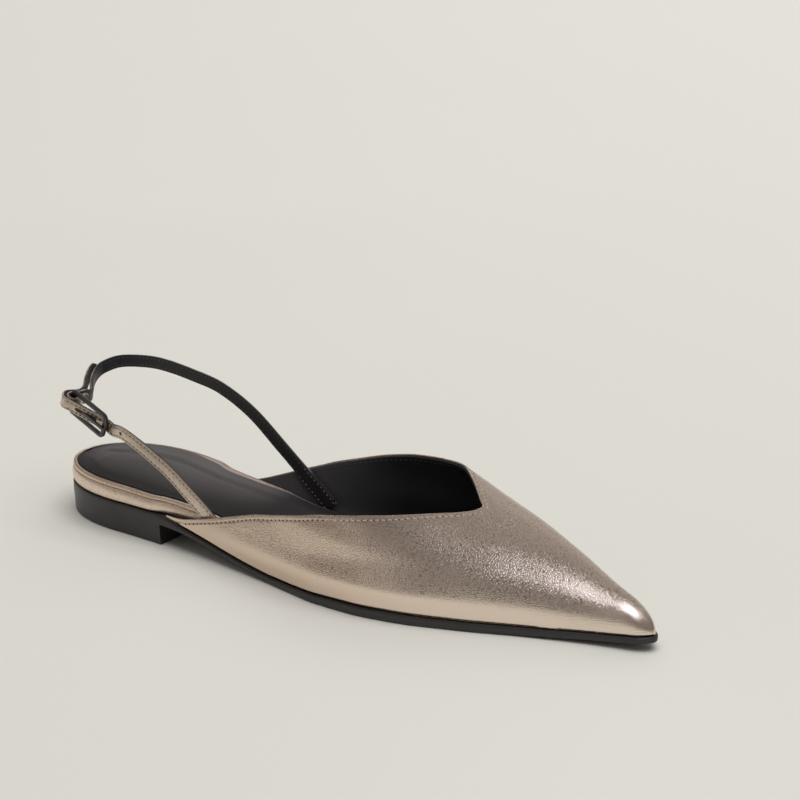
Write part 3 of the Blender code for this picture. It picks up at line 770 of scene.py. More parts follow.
def sole_corner(x):
    """Radius of the outsole's lower edge: sharp over the heel, with a soft step ahead of the breast."""
    return SHARP_CORNER + (SOLE_CORNER - SHARP_CORNER) * step_up((x - BREAST) / CORNER_CHANGE)


def make_outsole():
    """Through sole: its outline carried up a side with round corners.

    At each turn a corner of radius r is drawn in by r * (1 - cos) and lies r * (1 - sin) from its face.
    """
    rings = []
    for turn in np.radians(np.linspace(-90, 0, CORNER_STEPS)):
        inset, low = 1 - np.cos(turn), 1 + np.sin(turn)

        def drawn_in(x, inset=inset):
            return sole_corner(x) * inset

        def height(x, low=low):
            return sole_bottom(x) + sole_corner(x) * low

        rings.append(ring(drawn_in, height, LENGTH - SOLE_CORNER * inset))
    for turn in np.radians(np.linspace(0, 90, CORNER_STEPS)):
        inset, low = SOLE_CORNER * (1 - np.cos(turn)), SOLE_CORNER * (1 - np.sin(turn))
        rings.append(ring(inset, lambda x, low=low: sole_top(x) - low, LENGTH - inset))
    return make_piece("outsole_black", *lofted(rings), sole_edge, "black_sole", "outsole")


def make_heel():
    """Heel block: the outline behind the breast, drawn in towards the floor, its edges rounded."""
    turns = np.radians(np.linspace(-90, 0, CORNER_STEPS))
    levels = [(HEEL_TAPER + HEEL_CORNER * (1 - np.cos(a)), HEEL_CORNER * (1 + np.sin(a))) for a in turns]
    levels.append((HEEL_TOP_DRAW, SOLE["bottom"][0] + HEEL_LAP))
    rings = []
    for inset, height in levels:
        x = BREAST - (BREAST - inset) * (1 + np.cos(np.linspace(0, np.pi, RING_STEPS))) / 2
        outer, inner = (np.stack([x, edge_y(x, side, inset, LENGTH), 0 * x + height], axis=1)
                        for side in ("lateral", "medial"))
        breast = np.linspace(outer[-1], inner[-1], 12)[1:-1]
        rings.append(np.vstack([outer, breast, inner[:0:-1]]))
    rings = np.array(rings)
    flat = []
    for edge in (rings[0], rings[-1]):
        middle = np.array([BREAST / 2, 0, edge[0, 2]])
        flat.append((np.stack([edge, np.broadcast_to(middle, edge.shape)]), True))
    heel = make_piece("heel_black", *joined([(rings, True)] + flat), heel_edge, "black_heel", "heel")
    edge_round = heel.modifiers.new("breast_edges", "BEVEL")
    edge_round.width = HEEL_CORNER * MM
    edge_round.segments = 3
    edge_round.limit_method = "ANGLE"
    edge_round.angle_limit = np.radians(50)
    return heel


def through(rows, steps):
    """Smooth curve through the rows of a table, steps to each stretch, on Catmull-Rom cubics."""
    padded = np.vstack([2 * rows[0] - rows[1], rows, 2 * rows[-1] - rows[-2]])
    t = np.linspace(0, 1, steps, endpoint=False)[None, :, None]
    a, b, c, d = (padded[k:len(rows) - 1 + k, None] for k in range(4))
    curve = b + 0.5 * t * (c - a + t * (2 * a - 5 * b + 4 * c - d + t * (3 * (b - c) + d - a)))
    return np.vstack([curve.reshape(-1, rows.shape[1]), rows[-1:]])


def make_footbed():
    """Covered bed: its side's profile carried round the foot, with a crease under the rolled rim."""
    profile = through(np.stack(list(BED_SIDE.values()), axis=1), 3)
    rings = []
    for inset, share, drop in profile:
        def height(x, share=share, drop=drop):
            return (sole_top(x) + CLEARANCE) * (1 - share) + rim(x) * share - drop

        rings.append(ring(inset, height, BED_END - max(inset, 0), ("",)))
    for drop in (CLEARANCE, SOCK_THICK - SOCK_PROUD + CLEARANCE):
        rings.append(ring(-CLEARANCE, lambda x, drop=drop: rim(x) - drop,
                          SOCK_END + 2 * CLEARANCE, ("", "sock_")))
    skin = lofted(rings, sag_top=bowl)
    return make_piece("footbed_cover", *skin, bronze_cover, "bronze_cover", "footbed")


def bowl(x, share):
    """Hollow of the insole: the dish's depth, level in the middle and rising to both edges."""
    return smooth(x, DISH, "depth") * (1 - np.abs(2 * share - 1) ** BOWL_POWER)


def cushion(x, share):
    """Hollow of the padded sock: the bowl, and a soft step down inside a border of about 7 mm."""
    outer, inner = SOCK_INSETS
    wide = edge_y(x, "medial", inner, LENGTH) - edge_y(x, "lateral", outer, LENGTH)
    inside = np.minimum(np.minimum(share, 1 - share) * wide, x - SOCK_BACK)
    border, soft = CUSHION_BORDER
    return bowl(x, share) + CUSHION_STEP * step_up((inside - border) / soft)


def make_insole():
    """Padded sock: a rounded edge, a soft border and the heel's hollow."""
    rings = []
    for turn in np.radians(np.linspace(-90, 90, 13)):
        inset = SOCK_EDGE * (1 - np.cos(turn))
        share = 0.5 + 0.5 * np.sin(turn)

        def height(x, share=share):
            return rim(x) + SOCK_PROUD - (1 - share) * SOCK_THICK

        rings.append(ring(inset, height, SOCK_END - inset, ("", "sock_")))
    skin = lofted(rings, across=48, sag_top=cushion, sag_bottom=bowl)
    insole = make_piece("insole_sock", *skin, sock_leather, "black_sock", "insole")
    return insole


# Upper: wall over the last
def last_point(x, t):
    """Skin of the last: t from 0 at the outer feather edge over the crest at 0.5 to 1 at the inner edge.

    Each half is one cubic arc: it rises from the feather edge with the wall's lean and
    runs level into the crest.
    """
    end = LENGTH - UPPER_INSET
    foot = sole_top(x) + CLEARANCE
    front = np.clip((x - end) / TOE_PUFF + 1, 0, 1)
    height = (smooth(x, LAST, "crest_z") - foot) * np.sqrt(1 - front ** 2)
    crest = smooth(x, LAST, "crest_y")
    outer = t <= 0.5
    way = np.where(outer, -1.0, 1.0)
    edge = np.where(outer, edge_y(x, "lateral", UPPER_INSET, end), edge_y(x, "medial", UPPER_INSET, end))
    lean = np.where(outer, smooth(x, LAST, "lean_lateral"), smooth(x, LAST, "lean_medial"))
    side = smooth(x, LAST, "side") * height
    shoulder = crest + smooth(x, LAST, "roof") * (edge - crest)
    u = np.where(outer, 2 * t, 2 - 2 * t)
    v = 1 - u
    wall = edge + way * lean * side
    y = v ** 3 * edge + 3 * u * v * v * wall + 3 * u * u * v * shoulder + u ** 3 * crest
    z = foot + 3 * u * v * v * side + (3 * u * u * v + u ** 3) * height
    return np.stack([x + 0 * t, y, z], axis=-1)


def cut_at(x, angle):
    """Place t on each section where the line at this angle from upright leaves the last."""
    low, high = np.zeros_like(x), np.ones_like(x)
    foot = sole_top(x) + CLEARANCE
    for _ in range(HALVINGS):
        middle = (low + high) / 2
        point = last_point(x, middle)
        beyond = np.arctan2(point[:, 1] - THROAT[1], point[:, 2] - foot) > angle
        low, high = np.where(beyond, low, middle), np.where(beyond, middle, high)
    return (low + high) / 2


def topline_angle(x, side):
    """Angle of the topline in radians: the eased table, and a square root over the throat's point.

    The table is eased by its mean about each place, weighted by a parabola.
    """
    def eased(at):
        offsets = np.linspace(-0.8, 0.8, 9)
        weights = 1 - offsets ** 2
        reach = np.minimum(TOPLINE_EASE, THROAT[0] - at)
        parts = [w * smooth(at + k * reach, TOPLINE, side) for k, w in zip(offsets, weights)]
        return sum(parts) / weights.sum()

    left = np.clip(THROAT[0] - x, 0, None)
    close = eased(np.array([THROAT[0] - THROAT_ROUND])) * np.sqrt(left / THROAT_ROUND)
    return np.radians(np.where(left < THROAT_ROUND, close, eased(np.minimum(x, THROAT[0]))))


def upper_halves(behind, ahead, rows, drop=0.0):
    """Outer face of the upper as two grids, outer and inner half: stations by rows from feather edge up.

    Behind the throat the rows end at the topline, less the drop. Ahead of it both halves end on one line.
    """
    end = LENGTH - UPPER_INSET
    x_behind = UPPER_START + (THROAT[0] - UPPER_START) * np.sin(np.linspace(0, np.pi / 2, behind))
    x_ahead = spread(2 * THROAT[0] - end, end, 2 * ahead - 1)[ahead:]
    x = np.concatenate([x_behind, x_ahead])
    opened = np.where(x < THROAT[0], 1.0, 0.0)
    outer_end = cut_at(x, -topline_angle(x, "lateral") * opened)
    inner_end = cut_at(x, topline_angle(x, "medial") * opened)
    share = np.linspace(0, 1, rows)
    halves = []
    for t_foot, t_end in ((0.0, outer_end), (1.0, inner_end)):
        nudge = SMALL_T * np.sign(t_foot - t_end + 1e-9)
        speed = np.linalg.norm(last_point(x, t_end + nudge) - last_point(x, t_end), axis=1) / SMALL_T
        lowered = np.minimum(drop * opened / np.maximum(speed, 1), abs(t_foot - t_end))
        t_end = t_end + np.sign(t_foot - t_end) * lowered
        halves.append(last_point(x[:, None], t_foot + (t_end[:, None] - t_foot) * share))
    return halves


def half_normals(grid, way):
    """Outward normals of one half: the cross product of its two directions, mended at its ends."""
    normal = way * unit(np.cross(np.gradient(grid, axis=0), np.gradient(grid, axis=1)))
    normal[0] = normal[1]
    normal[-1] = (1.0, 0.0, 0.0)
    return normal


def upper_normals(halves, throat):
    """Normals of both halves, alike on the line where they meet ahead of the throat."""
    outer, inner = half_normals(halves[0], 1), half_normals(halves[1], -1)
    shared = unit(outer[throat:, -1] + inner[throat:, -1])
    outer[throat:, -1] = shared
    inner[throat:, -1] = shared
    return outer, inner


def topline_of(halves, throat):
    """Border from the outer rear tip to the throat and back to the inner rear tip."""
    return np.vstack([halves[0][:throat + 1, -1], halves[1][:throat, -1][::-1]])


def off_edge(border, normal):
    """Way off the leather at each point of the border: square to it and to the surface."""
    return unit(np.cross(normal, unit(np.gradient(border, axis=0))))


def shell(halves, normals, throat, outside, inside, bulge):
    """Closed wall between two depths: outside, inside, a round topline, the foot and the rear tips."""
    grids = []
    faces_of = []
    for half, normal, out, back in zip(halves, normals, outside, inside):
        front, rear = half - normal * out[..., None], half - normal * back[..., None]
        faces_of.append((front, rear))
        grids += [(front, False), (rear, False)]
        grids.append((np.stack([front[:, 0], rear[:, 0]]), False))
        grids.append((np.stack([front[0], rear[0]]), False))
    front = topline_of([f for f, _ in faces_of], throat)
    rear = topline_of([r for _, r in faces_of], throat)
    normal = topline_of(normals, throat)
    beyond = off_edge(front, normal)
    turn = np.linspace(0, np.pi, RIM_STEPS)[:, None, None]
    middle, reach = (front + rear) / 2, (front - rear) / 2
    grids.append((middle + np.cos(turn) * reach + np.sin(turn) * beyond * bulge, False))
    return joined(grids)


def border_distance(grid, border):
    """Distance of each point of a grid from the nearest point of the border."""
    flat = grid.reshape(-1, 3)
    square = (flat ** 2).sum(1)[:, None] + (border ** 2).sum(1)[None] - 2 * flat @ border.T
    return np.sqrt(np.maximum(square.min(axis=1), 0)).reshape(grid.shape[:2])


def wall_height(grid):
    """Distance along the wall from the feather edge."""
    steps = np.linalg.norm(np.diff(grid, axis=1), axis=2)
    return np.concatenate([np.zeros((len(grid), 1)), np.cumsum(steps, axis=1)], axis=1)


def creased(grid, side):
    """Sum of soft troughs and ridges: each a bell across its run that fades towards its ends."""
    x, high = grid[..., 0], wall_height(grid)
    total = 0 * x
    columns = (CREASES[name] for name in ("x", "high", "long", "wide", side))
    for at, level, long, wide, rise in zip(*columns):
        total += rise * np.exp(-((high - level) / wide) ** 2) * np.exp(-((x - at) / long) ** 4)
    return total * step_up((x - UPPER_START) / CREASE_FADE)


def upper_skin(behind, ahead, rows, drop=0.0):
    """Outer face of the upper with its soft creases, its normals, and the station of the throat."""
    halves, throat = upper_halves(behind, ahead, rows, drop), behind - 1
    normals = upper_normals(halves, throat)
    for half, normal, side in zip(halves, normals, ("outer", "inner")):
        half += normal * creased(half, side)[..., None]
    return halves, upper_normals(halves, throat), throat


def leather_depth(grid, border):
    """Depth of the outer leather's face: stitch channel, folded edge, and the tuck at the foot."""
    far = border_distance(grid, border)
    deep, wide = CHANNEL
    channel = deep * np.exp(-((far - STITCH_INSET) / wide) ** 2)
    rise, at, wide = FOLD_ROLL
    fold = rise * np.exp(-((far - at) / wide) ** 2)
    rise, thins, over = FOLD_STEP
    fold = fold + rise * (1 - step_up((far - thins) / over))
    deep, tall = TUCK
    low = np.clip(1 - wall_height(grid) / tall, 0, 1)
    return channel - fold + deep * (1 - np.sqrt(1 - low ** 2))


def tip_thin(grid):
    """Share of the wall's thickness left towards the pointed rear tips."""
    return TIP_SHARE + (1 - TIP_SHARE) * step_up((grid[..., 0] - UPPER_START) / TIP_LONG)


def make_upper():
    """Vamp and quarters in one leather wall: the last's skin, folded on top, tucked in at the sole."""
    halves, normals, throat = upper_skin(STATIONS_BEHIND, STATIONS_AHEAD, WALL_ROWS)
    border = topline_of(halves, throat)
    outside = [leather_depth(h, border) for h in halves]
    shared = (outside[0][throat:, -1] + outside[1][throat:, -1]) / 2
    for depth in outside:
        depth[throat:, -1] = shared
        depth[-1] = 0
    inside = [LEATHER * tip_thin(h) for h in halves]
    wall = shell(halves, normals, throat, outside, inside, EDGE_BULGE)
    make_piece("upper_leather", *wall, bronze_leather, "bronze_leather", "upper")
    return halves, normals, throat


def make_lining():
    """Black lining inside the leather, its top edge a little below the fold."""
    half_as_fine = (STATIONS_BEHIND // 2, STATIONS_AHEAD // 2, WALL_ROWS // 2)
    halves, normals, throat = upper_skin(*half_as_fine, LINING_DROP)
    outside = [(LEATHER + LINING_GAP) * tip_thin(h) for h in halves]
    inside = [WALL * tip_thin(h) for h in halves]
    wall = shell(halves, normals, throat, outside, inside, LINING_BULGE)
    return make_piece("upper_lining", *wall, lining_leather, "black_sock")


# Small repeated pieces
def travelled(path):
    """Distance of each point of a path from its start, along it."""
    return np.concatenate([[0], np.cumsum(np.linalg.norm(np.diff(path, axis=0), axis=1))])


def read_at(line, far, at):
    """Columns of a line, whose rows lie this far along, read again at other distances."""
    return np.stack([np.interp(at, far, column) for column in line.T], axis=1)


def closed_tube(rows):
    """Points and faces of a tube through its rows, and through one more at each end, drawn to a point."""
    first, last = (row.mean(axis=0) + 0 * row for row in (rows[0], rows[-1]))
    return joined([(np.concatenate([first[None], rows, last[None]]), True)])


def beads(middle, forward, normal, long, wide, tall, dip):
    """Many small rounded bodies as grids: a ball stretched along its way, its ends dipping by dip."""
    rings, sides = 7, 8
    a = np.linspace(-1, 1, rings)[:, None]
    fat = np.sqrt(np.maximum(1 - a ** 4, 0))
    turn = np.linspace(0, 2 * np.pi, sides, endpoint=False)[None, :]
    along = (a + 0 * turn)[None, ..., None]
    across = (fat * np.cos(turn))[None, ..., None]
    up = (fat * np.sin(turn))[None, ..., None]
    side = np.cross(normal, forward)[:, None, None]
    body = along * forward[:, None, None] * long / 2 + across * side * wide / 2
    body = body + (up * tall / 2 - along ** 2 * dip) * normal[:, None, None] + middle[:, None, None]
    return [(one, True) for one in body]


def stitch_row(path, normal, pitch, lift, row):
    """Grids of a row's stitches, at an even pitch along the path, and of the holes between them as discs
    of painted shade.
    """
    far = travelled(path)
    at = np.arange(pitch / 2, far[-1], pitch)
    path, normal = read_at(path, far, at), unit(read_at(normal, far, at))
    size, hole = row
    stitches = beads(path + normal * lift, unit(np.gradient(path, axis=0)), normal, *size, STITCH_DIP)
    middle = (path[1:] + path[:-1]) / 2
    mean = unit(normal[1:] + normal[:-1])
    forward = unit(path[1:] - path[:-1])
    holes = beads(middle + mean * (lift - HOLE_SUNK), forward, mean, hole, hole, HOLE_TALL, 0.0)
    return stitches, holes


def make_topline_stitches(halves, normals, throat):
    """Stitch row below the topline, outside on the leather and inside on the lining."""
    border = topline_of(halves, throat)
    normal = topline_of(normals, throat)
    down = -off_edge(border, normal)
    keep = border[:, 0] > UPPER_START + STITCH_START
    row = (border + down * STITCH_INSET)[keep]
    normal = normal[keep]
    stitches, holes = [], []
    first, last = np.flatnonzero(row[:, 0] > PALE_STITCHES)[[0, -1]]
    stretches = ((0, first, PLAIN_ROW), (first, last, PALE_ROW), (last, len(row), PLAIN_ROW))
    for start, stop, look in stretches:
        some, dark = stitch_row(row[start:stop], normal[start:stop], STITCH_PITCH, 0.0, look)
        stitches += some
        holes += dark
    make_piece("topline_stitches", *joined(stitches), bronze_thread, "bronze_leather")
    # painted shade in the needle holes
    make_piece("topline_needle_holes", *joined(holes), hole_shade, "black_sock")
    inner = row - normal * (WALL + HOLE_SUNK)
    stitches, _ = stitch_row(inner, -normal, STITCH_PITCH, 0.0, LINING_ROW)
    make_piece("lining_stitches", *joined(stitches), black_thread, "black_sock")


# Straps
def along(run):
    """Smooth curve through given points, read at even steps: centre points and widths."""
    fine = through(np.array(run, dtype=float), 24)
    far = travelled(fine[:, :3])
    count = int(np.ceil(far[-1] / STRAP_STEP)) + 1
    even = read_at(fine, far, np.linspace(0, far[-1], count))
    return even[:, :3], even[:, 3]


def buckle_axes():
    """The frame's own directions: rearward along the strap, up across it, and outward."""
    rearward = unit(BUCKLE_REARWARD)
    up = unit(UP - rearward[2] * rearward)
    return rearward, up, np.cross(up, rearward)


def on_buckle(rear, out):
    """Point given in the frame's own directions from its middle."""
    rearward, _, outward = buckle_axes()
    return BUCKLE_CENTRE + rear * rearward + out * outward


def hinge():
    """Place of the hinge bar and of the front bar along the frame."""
    return (FRAME_LENGTH - BAR_WIDTH) / 2


def turn_radius(thick):
    """Middle of something of this thickness that turns round the hinge bar."""
    return BAR_WIDTH / 2 + TURN_PLAY + thick / 2


def strap_upright(points):
    """Way across a strap: the buckle's own near the buckle, upright away from it."""
    distance = np.linalg.norm(points - BUCKLE_CENTRE, axis=1)[:, None]
    share = np.clip((UPRIGHT_FROM - distance) / (UPRIGHT_FROM - BUCKLE_REACH), 0, 1)
    return share * buckle_axes()[1] + (1 - share) * UP


def strap_frame(centre):
    """Forward, across and outward ways along a strap."""
    forward = unit(np.gradient(centre, axis=0))
    upright = strap_upright(centre)
    up = unit(upright - (upright * forward).sum(axis=1, keepdims=True) * forward)
    return forward, up, np.cross(up, forward)


def lateral_path():
    """Long strap: from inside the outer quarter, behind the front bar, over the hinge, round the back."""
    behind = BAR_THICK / 2 + CLEARANCE + STRAP_THICK / 2
    over = turn_radius(STRAP_THICK) + STRAP_THICK + CLEARANCE
    width = TAIL_RUN[0][3]
    under_bar = [(-hinge() - 3, -behind), (-hinge() + 0.5, -behind)]
    turn = [(hinge() + over * np.sin(a), over * np.cos(a)) for a in np.radians((0, 30, 60, 90))]
    passing = [(*on_buckle(rear, out), width) for rear, out in under_bar + STRAP_PASS + turn]
    return along(LATERAL_RUN + passing + TAIL_RUN)


def medial_path():
    """Short strap: folded round the hinge bar, then round the back and down inside the inner quarter."""
    radius = turn_radius(STRAP_THICK)
    layer = (STRAP_THICK + CLEARANCE) / 2
    width = MEDIAL_RUN[0][3]
    neck = [(radius - CLEARANCE, 1 - FOLD_TAIL / 2), (layer, -1 - FOLD_TAIL / 2), (layer, -FOLD_TAIL)]
    folded = [(-rear, out) for rear, out in neck[::-1]]
    loop = [(radius * np.cos(a), radius * np.sin(a)) for a in np.linspace(np.pi, 0, 9)]
    leaving = [(*on_buckle(hinge() + rear, out), width) for rear, out in folded + loop + neck]
    return along(leaving + MEDIAL_RUN)


def strap_layer(centre, widths, low, high, rounded, channel):
    """Flat layer of a strap between two depths: its section carried along the path, closed at both ends.

    The face on the rounded side, outer or inner, has a groove for each stitch row, and its edges turn
    over by a quarter circle. The free ends draw in by a superellipse.
    """
    _, up, out = strap_frame(centre)
    far = travelled(centre)
    drawn_in, end_share = STRAP_END
    to_end = np.minimum(far, far[-1] - far)
    narrow = (1 - np.clip(1 - to_end / drawn_in, 0, 1) ** 3) ** (1 / 3)
    half = (widths / 2 * np.maximum(narrow, end_share))[:, None]
    a = np.sin(np.linspace(-np.pi / 2, np.pi / 2, SECTION_STEPS))[None] * half
    over = np.clip((abs(a) - (half - STRAP_CORNER)) / STRAP_CORNER, 0, 1)
    turned = STRAP_CORNER * (1 - np.sqrt(1 - over ** 2))
    groove = channel * np.exp(-((abs(a) - (half - STRAP_STITCH_INSET)) / STRAP_GROOVE) ** 2)
    upper, lower = high + 0 * a, low + 0 * a
    if rounded == "outer":
        upper = upper - turned - groove
    else:
        lower = lower + turned + groove
    top = centre[:, None] + a[..., None] * up[:, None] + upper[..., None] * out[:, None]
    under = centre[:, None] + a[..., None] * up[:, None] + lower[..., None] * out[:, None]
    return closed_tube(np.concatenate([top, under[:, ::-1]], axis=1))


def edge_rows(centre, widths, depth, sunk, row, shown=slice(None)):
    """Stitch rows along both edges of a strap where they are shown, and their holes as discs of painted
    shade.

    They lie on the face at this depth from the strap's middle; minus is on its lining's side.
    """
    _, up, out = strap_frame(centre)
    stitches, holes = [], []
    for way in (-1, 1):
        line = centre + way * (widths / 2 - STRAP_STITCH_INSET)[:, None] * up + out * depth
        some, dark = stitch_row(line[shown], np.sign(depth) * out[shown], STRAP_PITCH, -sunk, row)
        stitches += some
        holes += dark
    return joined(stitches), joined(holes)


def make_strap(side, path, shown):
    """Two-layer strap with a stitch row along each edge, where stitches are shown."""
    centre, widths = path
    node = "strap_" + side
    deep = STRAP_THICK / 2
    seam = STRAP_LINING - deep
    leather = strap_layer(centre, widths, seam, deep, "outer", LEATHER_GROOVE)
    lining = strap_layer(centre, widths, -deep, seam - SEAM_GAP, "inner", LINING_GROOVE)
    make_piece(node + "_leather", *leather, strap_leather, "strap_leather", node)
    make_piece(node + "_lining", *lining, strap_lining, "black_sock", node)
    stitches, holes = edge_rows(centre, widths, deep, STITCH_SUNK, STRAP_ROW, shown)
    make_piece(node + "_stitches", *stitches, strap_thread, "strap_leather")
    # painted shade in the needle holes
    make_piece(node + "_needle_holes", *holes, hole_shade, "black_sock")
    stitches, _ = edge_rows(centre, widths, -deep, LINING_STITCH_SUNK, STRAP_LINING_ROW, shown)
    make_piece(node + "_lining_stitches", *stitches, black_thread, "black_sock")


def make_strap_holes(path):
    """Round hole in the long strap ahead of the buckle, and the slot that the prong goes through.

    Both are painted shade, dark and level with the leather: a disc, and a narrow strip laid along the
    strap.
    """
    centre, _ = path
    at = slice(int(PUNCHED_AT / STRAP_STEP), int(PUNCHED_AT / STRAP_STEP) + 1)
    forward, _, out = (way[at] for way in strap_frame(centre))
    disc = beads(centre[at] + out * STRAP_THICK / 2, forward, out, *PUNCHED, 0.0)
    make_piece("strap_hole", *joined(disc), hole_shade, "black_sock")
    rear = (centre - BUCKLE_CENTRE) @ buckle_axes()[0]
    near = np.linalg.norm(centre - BUCKLE_CENTRE, axis=1) < FRAME_LENGTH / 2
    slot = centre[near & (rear > PRONG_HOLE[0]) & (rear < PRONG_HOLE[1])]
    width = np.full(len(slot), PRONG_WIDTH + 2 * CLEARANCE)
    low, high = (STRAP_THICK / 2 + depth for depth in SLOT)
    strip = strap_layer(slot, width, low, high, "outer", 0.0)
    make_piece("strap_slot", *strip, hole_shade, "black_sock")


def make_tab(path):
    """Black tab stitched over the inner end of the short strap: a thin layer on its lining side."""
    count = int(TAB_LONG / STRAP_STEP)
    centre, widths = path[0][-count:], path[1][-count:] + TAB_WIDER
    face = STRAP_THICK / 2 + TAB_THICK
    layer = strap_layer(centre, widths, -face, -STRAP_THICK / 2, "inner", LINING_GROOVE)
    make_piece("strap_tab", *layer, strap_lining, "black_sock")
    stitches, _ = edge_rows(centre, widths, -face, LINING_STITCH_SUNK, TAB_ROW)
    make_piece("strap_tab_stitches", *stitches, grey_thread, "black_sock")


def make_straps():
    """Both straps with their stitches, the long one's holes and the short one's tab."""
    long, short = lateral_path(), medial_path()
    bar, near = BAR_BARE
    from_bar = np.linalg.norm(long[0] - on_buckle(bar, 0), axis=1)
    make_strap("lateral", long, (long[0][:, 2] >= FOOT_HIGH) & (from_bar >= near))
    make_strap("medial", short, short[0][:, 1] >= FOLD_BARE)
    make_strap_holes(long)
    make_tab(short)


# Buckle
def rounded_corners(half_long, half_wide, radius, steps):
    """Round corners of a rectangle in order: a quarter circle's middle, and cos and sin of each turn."""
    for quarter, (long_way, wide_way) in enumerate(((1, 1), (-1, 1), (-1, -1), (1, -1))):
        middle = long_way * (half_long - radius), wide_way * (half_wide - radius)
        for turn in np.linspace(0, np.pi / 2, steps) + quarter * np.pi / 2:
            yield (*middle, np.cos(turn), np.sin(turn))


def round_section(half_wide, half_thick, corner):
    """Section of a flat bar with round corners: pairs of (across, out)."""
    corners = rounded_corners(half_wide, half_thick, corner, 5)
    return np.array([(across + corner * c, out + corner * s) for across, out, c, s in corners])


def make_frame():
    """Buckle frame: a round-cornered bar section carried round a rounded rectangle."""
    half_long, half_wide = hinge(), (FRAME_WIDTH - BAR_WIDTH) / 2
    section = round_section(BAR_WIDTH / 2, BAR_THICK / 2, METAL_CORNERS[0])
    radius = FRAME_RADIUS + section[:, :1]
    rearward, upward, outward = buckle_axes()
    rows = []
    for rear, up, c, s in rounded_corners(half_long, half_wide, FRAME_RADIUS, 10):
        line = BUCKLE_CENTRE + (rear + radius * c) * rearward + (up + radius * s) * upward
        rows.append(line + section[:, 1:] * outward)
    rows = np.array(rows + rows[:1])
    return make_piece("buckle_frame_metal", *joined([(rows, True)]), gunmetal, "gunmetal", "buckle_frame")


def make_prong():
    """Prong: a flat wire round the hinge bar and over the strap, its tip drawn down on the front bar."""
    radius = turn_radius(PRONG_THICK)
    over = BAR_THICK / 2 + CLEARANCE + PRONG_THICK / 2
    turns = np.radians(np.linspace(*PRONG_EYE, 10))
    eye = [(hinge() + radius * np.cos(a), radius * np.sin(a)) for a in turns]
    level = [(rear, over) for rear in (*PRONG_LEVEL, -hinge(), -hinge() - PRONG_TIP)]
    run = np.array([on_buckle(rear, out) for rear, out in eye + PRONG_PASS + level])
    centre = through(run, 5)
    forward = unit(np.gradient(centre, axis=0))
    up = np.broadcast_to(buckle_axes()[1], centre.shape)
    out = np.cross(up, forward)
    section = round_section(PRONG_WIDTH / 2, PRONG_THICK / 2, METAL_CORNERS[1])
    to_tip = np.linalg.norm(centre - centre[-1], axis=1)
    slim = np.sqrt(np.clip(to_tip / PRONG_TAPER, 0.02, 1))[:, None, None]
    rows = centre[:, None] + slim * (section[:, :1] * up[:, None] + section[:, 1:] * out[:, None])
    return make_piece("buckle_prong_metal", *closed_tube(rows), gunmetal, "gunmetal", "buckle_prong")


# Stage
def stage_sheet(name, grid, finish):
    """Flat sheet of the stage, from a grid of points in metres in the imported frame."""
    mesh = bpy.data.meshes.new(name)
    mesh.from_pydata(grid.reshape(-1, 3).tolist(), [], grid_faces(*grid.shape[:2]).tolist())
    mesh.materials.append(finish)
    sheet = add_object(name, mesh)
    return sheet


def make_floor():
    """Flat square floor just under the sole."""
    at = np.linspace(-FLOOR_WIDE / 2, FLOOR_WIDE / 2, 9)
    x, y = np.meshgrid(at, at)
    stage_sheet("floor", np.stack([x, y, 0 * x - FLOOR_DROP], axis=-1) * MM, pale_floor())


def add_board(name, across, ahead, high, grey):
    """Dark board outside the picture that shows only in the shine of the leather.

    It is flat between two places across the picture, two towards the camera and two heights, each
    a straight change from its first to its second corner.
    """
    s, t = np.meshgrid((0.0, 1.0), (0.0, 1.0))
    r = across[0] + (across[1] - across[0]) * s
    c = ahead[0] + (ahead[1] - ahead[0]) * t
    z = high[0] + (high[1] - high[0]) * t
    points = r[..., None] * PICTURE_RIGHT + c[..., None] * PICTURE_TOWARD + z[..., None] * UP
    board = stage_sheet(name, place(points), shader_of(name + "_grey", grey, 0.8)[0])
    board.visible_camera = False
    board.visible_diffuse = False
    board.visible_shadow = False


def add_card(name, at, target, size, radiance, colour, shows="everywhere", fan=180):
    """Soft rectangular light that faces its target; places and size in the last's millimetres.

    A card shows everywhere, only on the floor and other plain surfaces ("plain"), or only in the
    shine of the leather ("shine"). Its power follows from its size and the radiance of its face, and
    its light fans out by this many degrees.
    """
    data = bpy.data.lights.new(name, "AREA")
    data.shape = "RECTANGLE"
    data.size, data.size_y = size[0] * MM, size[1] * MM
    data.energy = np.pi * data.size * data.size_y * radiance
    data.spread = np.radians(fan)
    data.color = colour
    light = add_object(name, data)
    light.location = place(at)
    light.rotation_euler = (Vector(target) - Vector(at)).to_track_quat("-Z", "Y").to_euler()
    light.visible_camera = False
    light.visible_glossy = shows != "plain"
    light.visible_diffuse = shows != "shine"


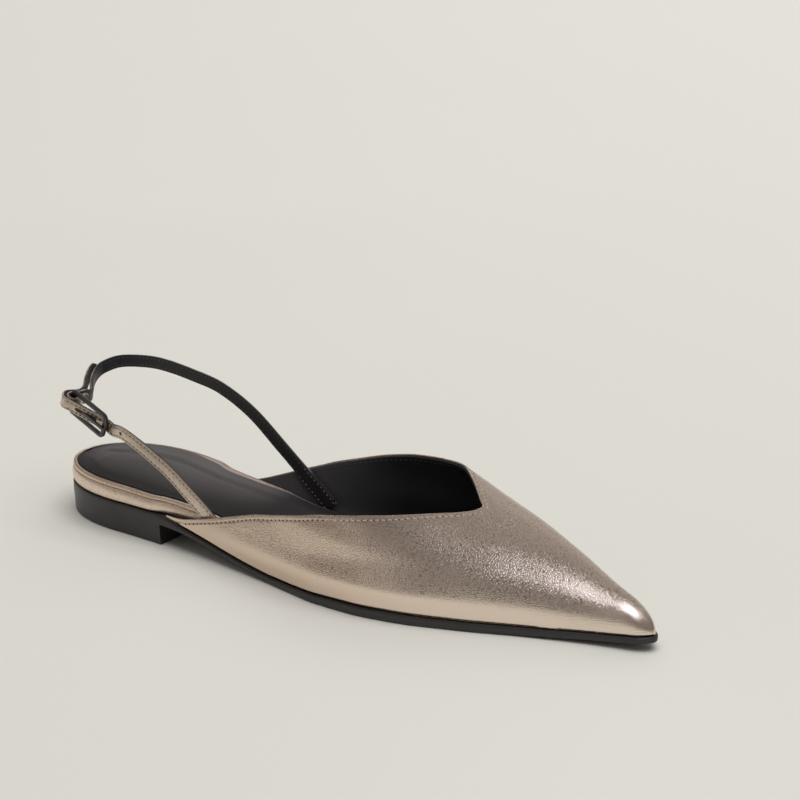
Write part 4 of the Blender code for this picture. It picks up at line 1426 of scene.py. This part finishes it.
def make_studio():
    """Warm dim room, paler at the back and on the left, a cool card over the toe, and the camera."""
    middle = (LENGTH / 2, 0, 0)
    add_card("lamp", (760, -130, 3000), middle, (3000, 3000), 2.30, LAMP, "plain")
    add_card("back_lamp", (-900, 1450, 1200), (-900, 1450, 0), (3000, 1500), 0.68, LAMP, "plain")
    add_card("ceiling", (134, 0, 2000), middle, (8000, 8000), 0.05, ROOM)
    add_card("back_ceiling", (-1010, 1640, 2000), (-1010, 1640, 0), (6000, 3800), 0.08, ROOM)
    add_card("left_wall", (-1070, -1425, 800), middle, (2800, 850), 0.14, ROOM)
    add_card("back_wall", (-124, 2124, 750), middle, (1560, 1200), 0.30, ROOM)
    add_card("near_wall", (-73, -1413, 533), middle, (700, 1000), 0.13, ROOM, "shine")
    add_card("sock_card", (-550, 786, 740), (40, 0, 20), (380, 320), 1.80, ROOM, "shine")
    add_card("toe_card", (292, -58, 165), (322, -58, 0), (150, 70), 1.55, COOL, "shine", 110)
    add_card("tip_card", (328, 62, 165), (328, 62, 0), (56, 74), 0.70, COOL, "shine")
    world = bpy.data.worlds.new("room")
    world.use_nodes = True
    background = world.node_tree.nodes["Background"]
    background.inputs["Color"].default_value = (*ROOM, 1.0)
    background.inputs["Strength"].default_value = ROOM_GLOW
    bpy.context.scene.world = world
    bpy.context.scene.view_settings.view_transform = "Standard"
    data = bpy.data.cameras.new("camera")
    data.lens = CAMERA_LENS
    data.sensor_width = CAMERA_SENSOR
    data.clip_start, data.clip_end = 0.05, 50.0
    camera = add_object("camera", data)
    camera.location = place(CAMERA_PLACE)
    camera.rotation_euler = Vector(CAMERA_WAY).to_track_quat("-Z", "Y").to_euler()
    bpy.context.scene.camera = camera


make_studio()
make_floor()
add_board("left_board", (-430, -35), (75, 360), (2, 2), (0.24, 0.22, 0.205))
add_board("back_board", (-120, 125), (-480, -480), (40, 290), (0.03, 0.03, 0.03))
make_outsole()
make_heel()
make_footbed()
make_insole()
upper = make_upper()
make_lining()
make_topline_stitches(*upper)
make_straps()
make_frame()
make_prong()
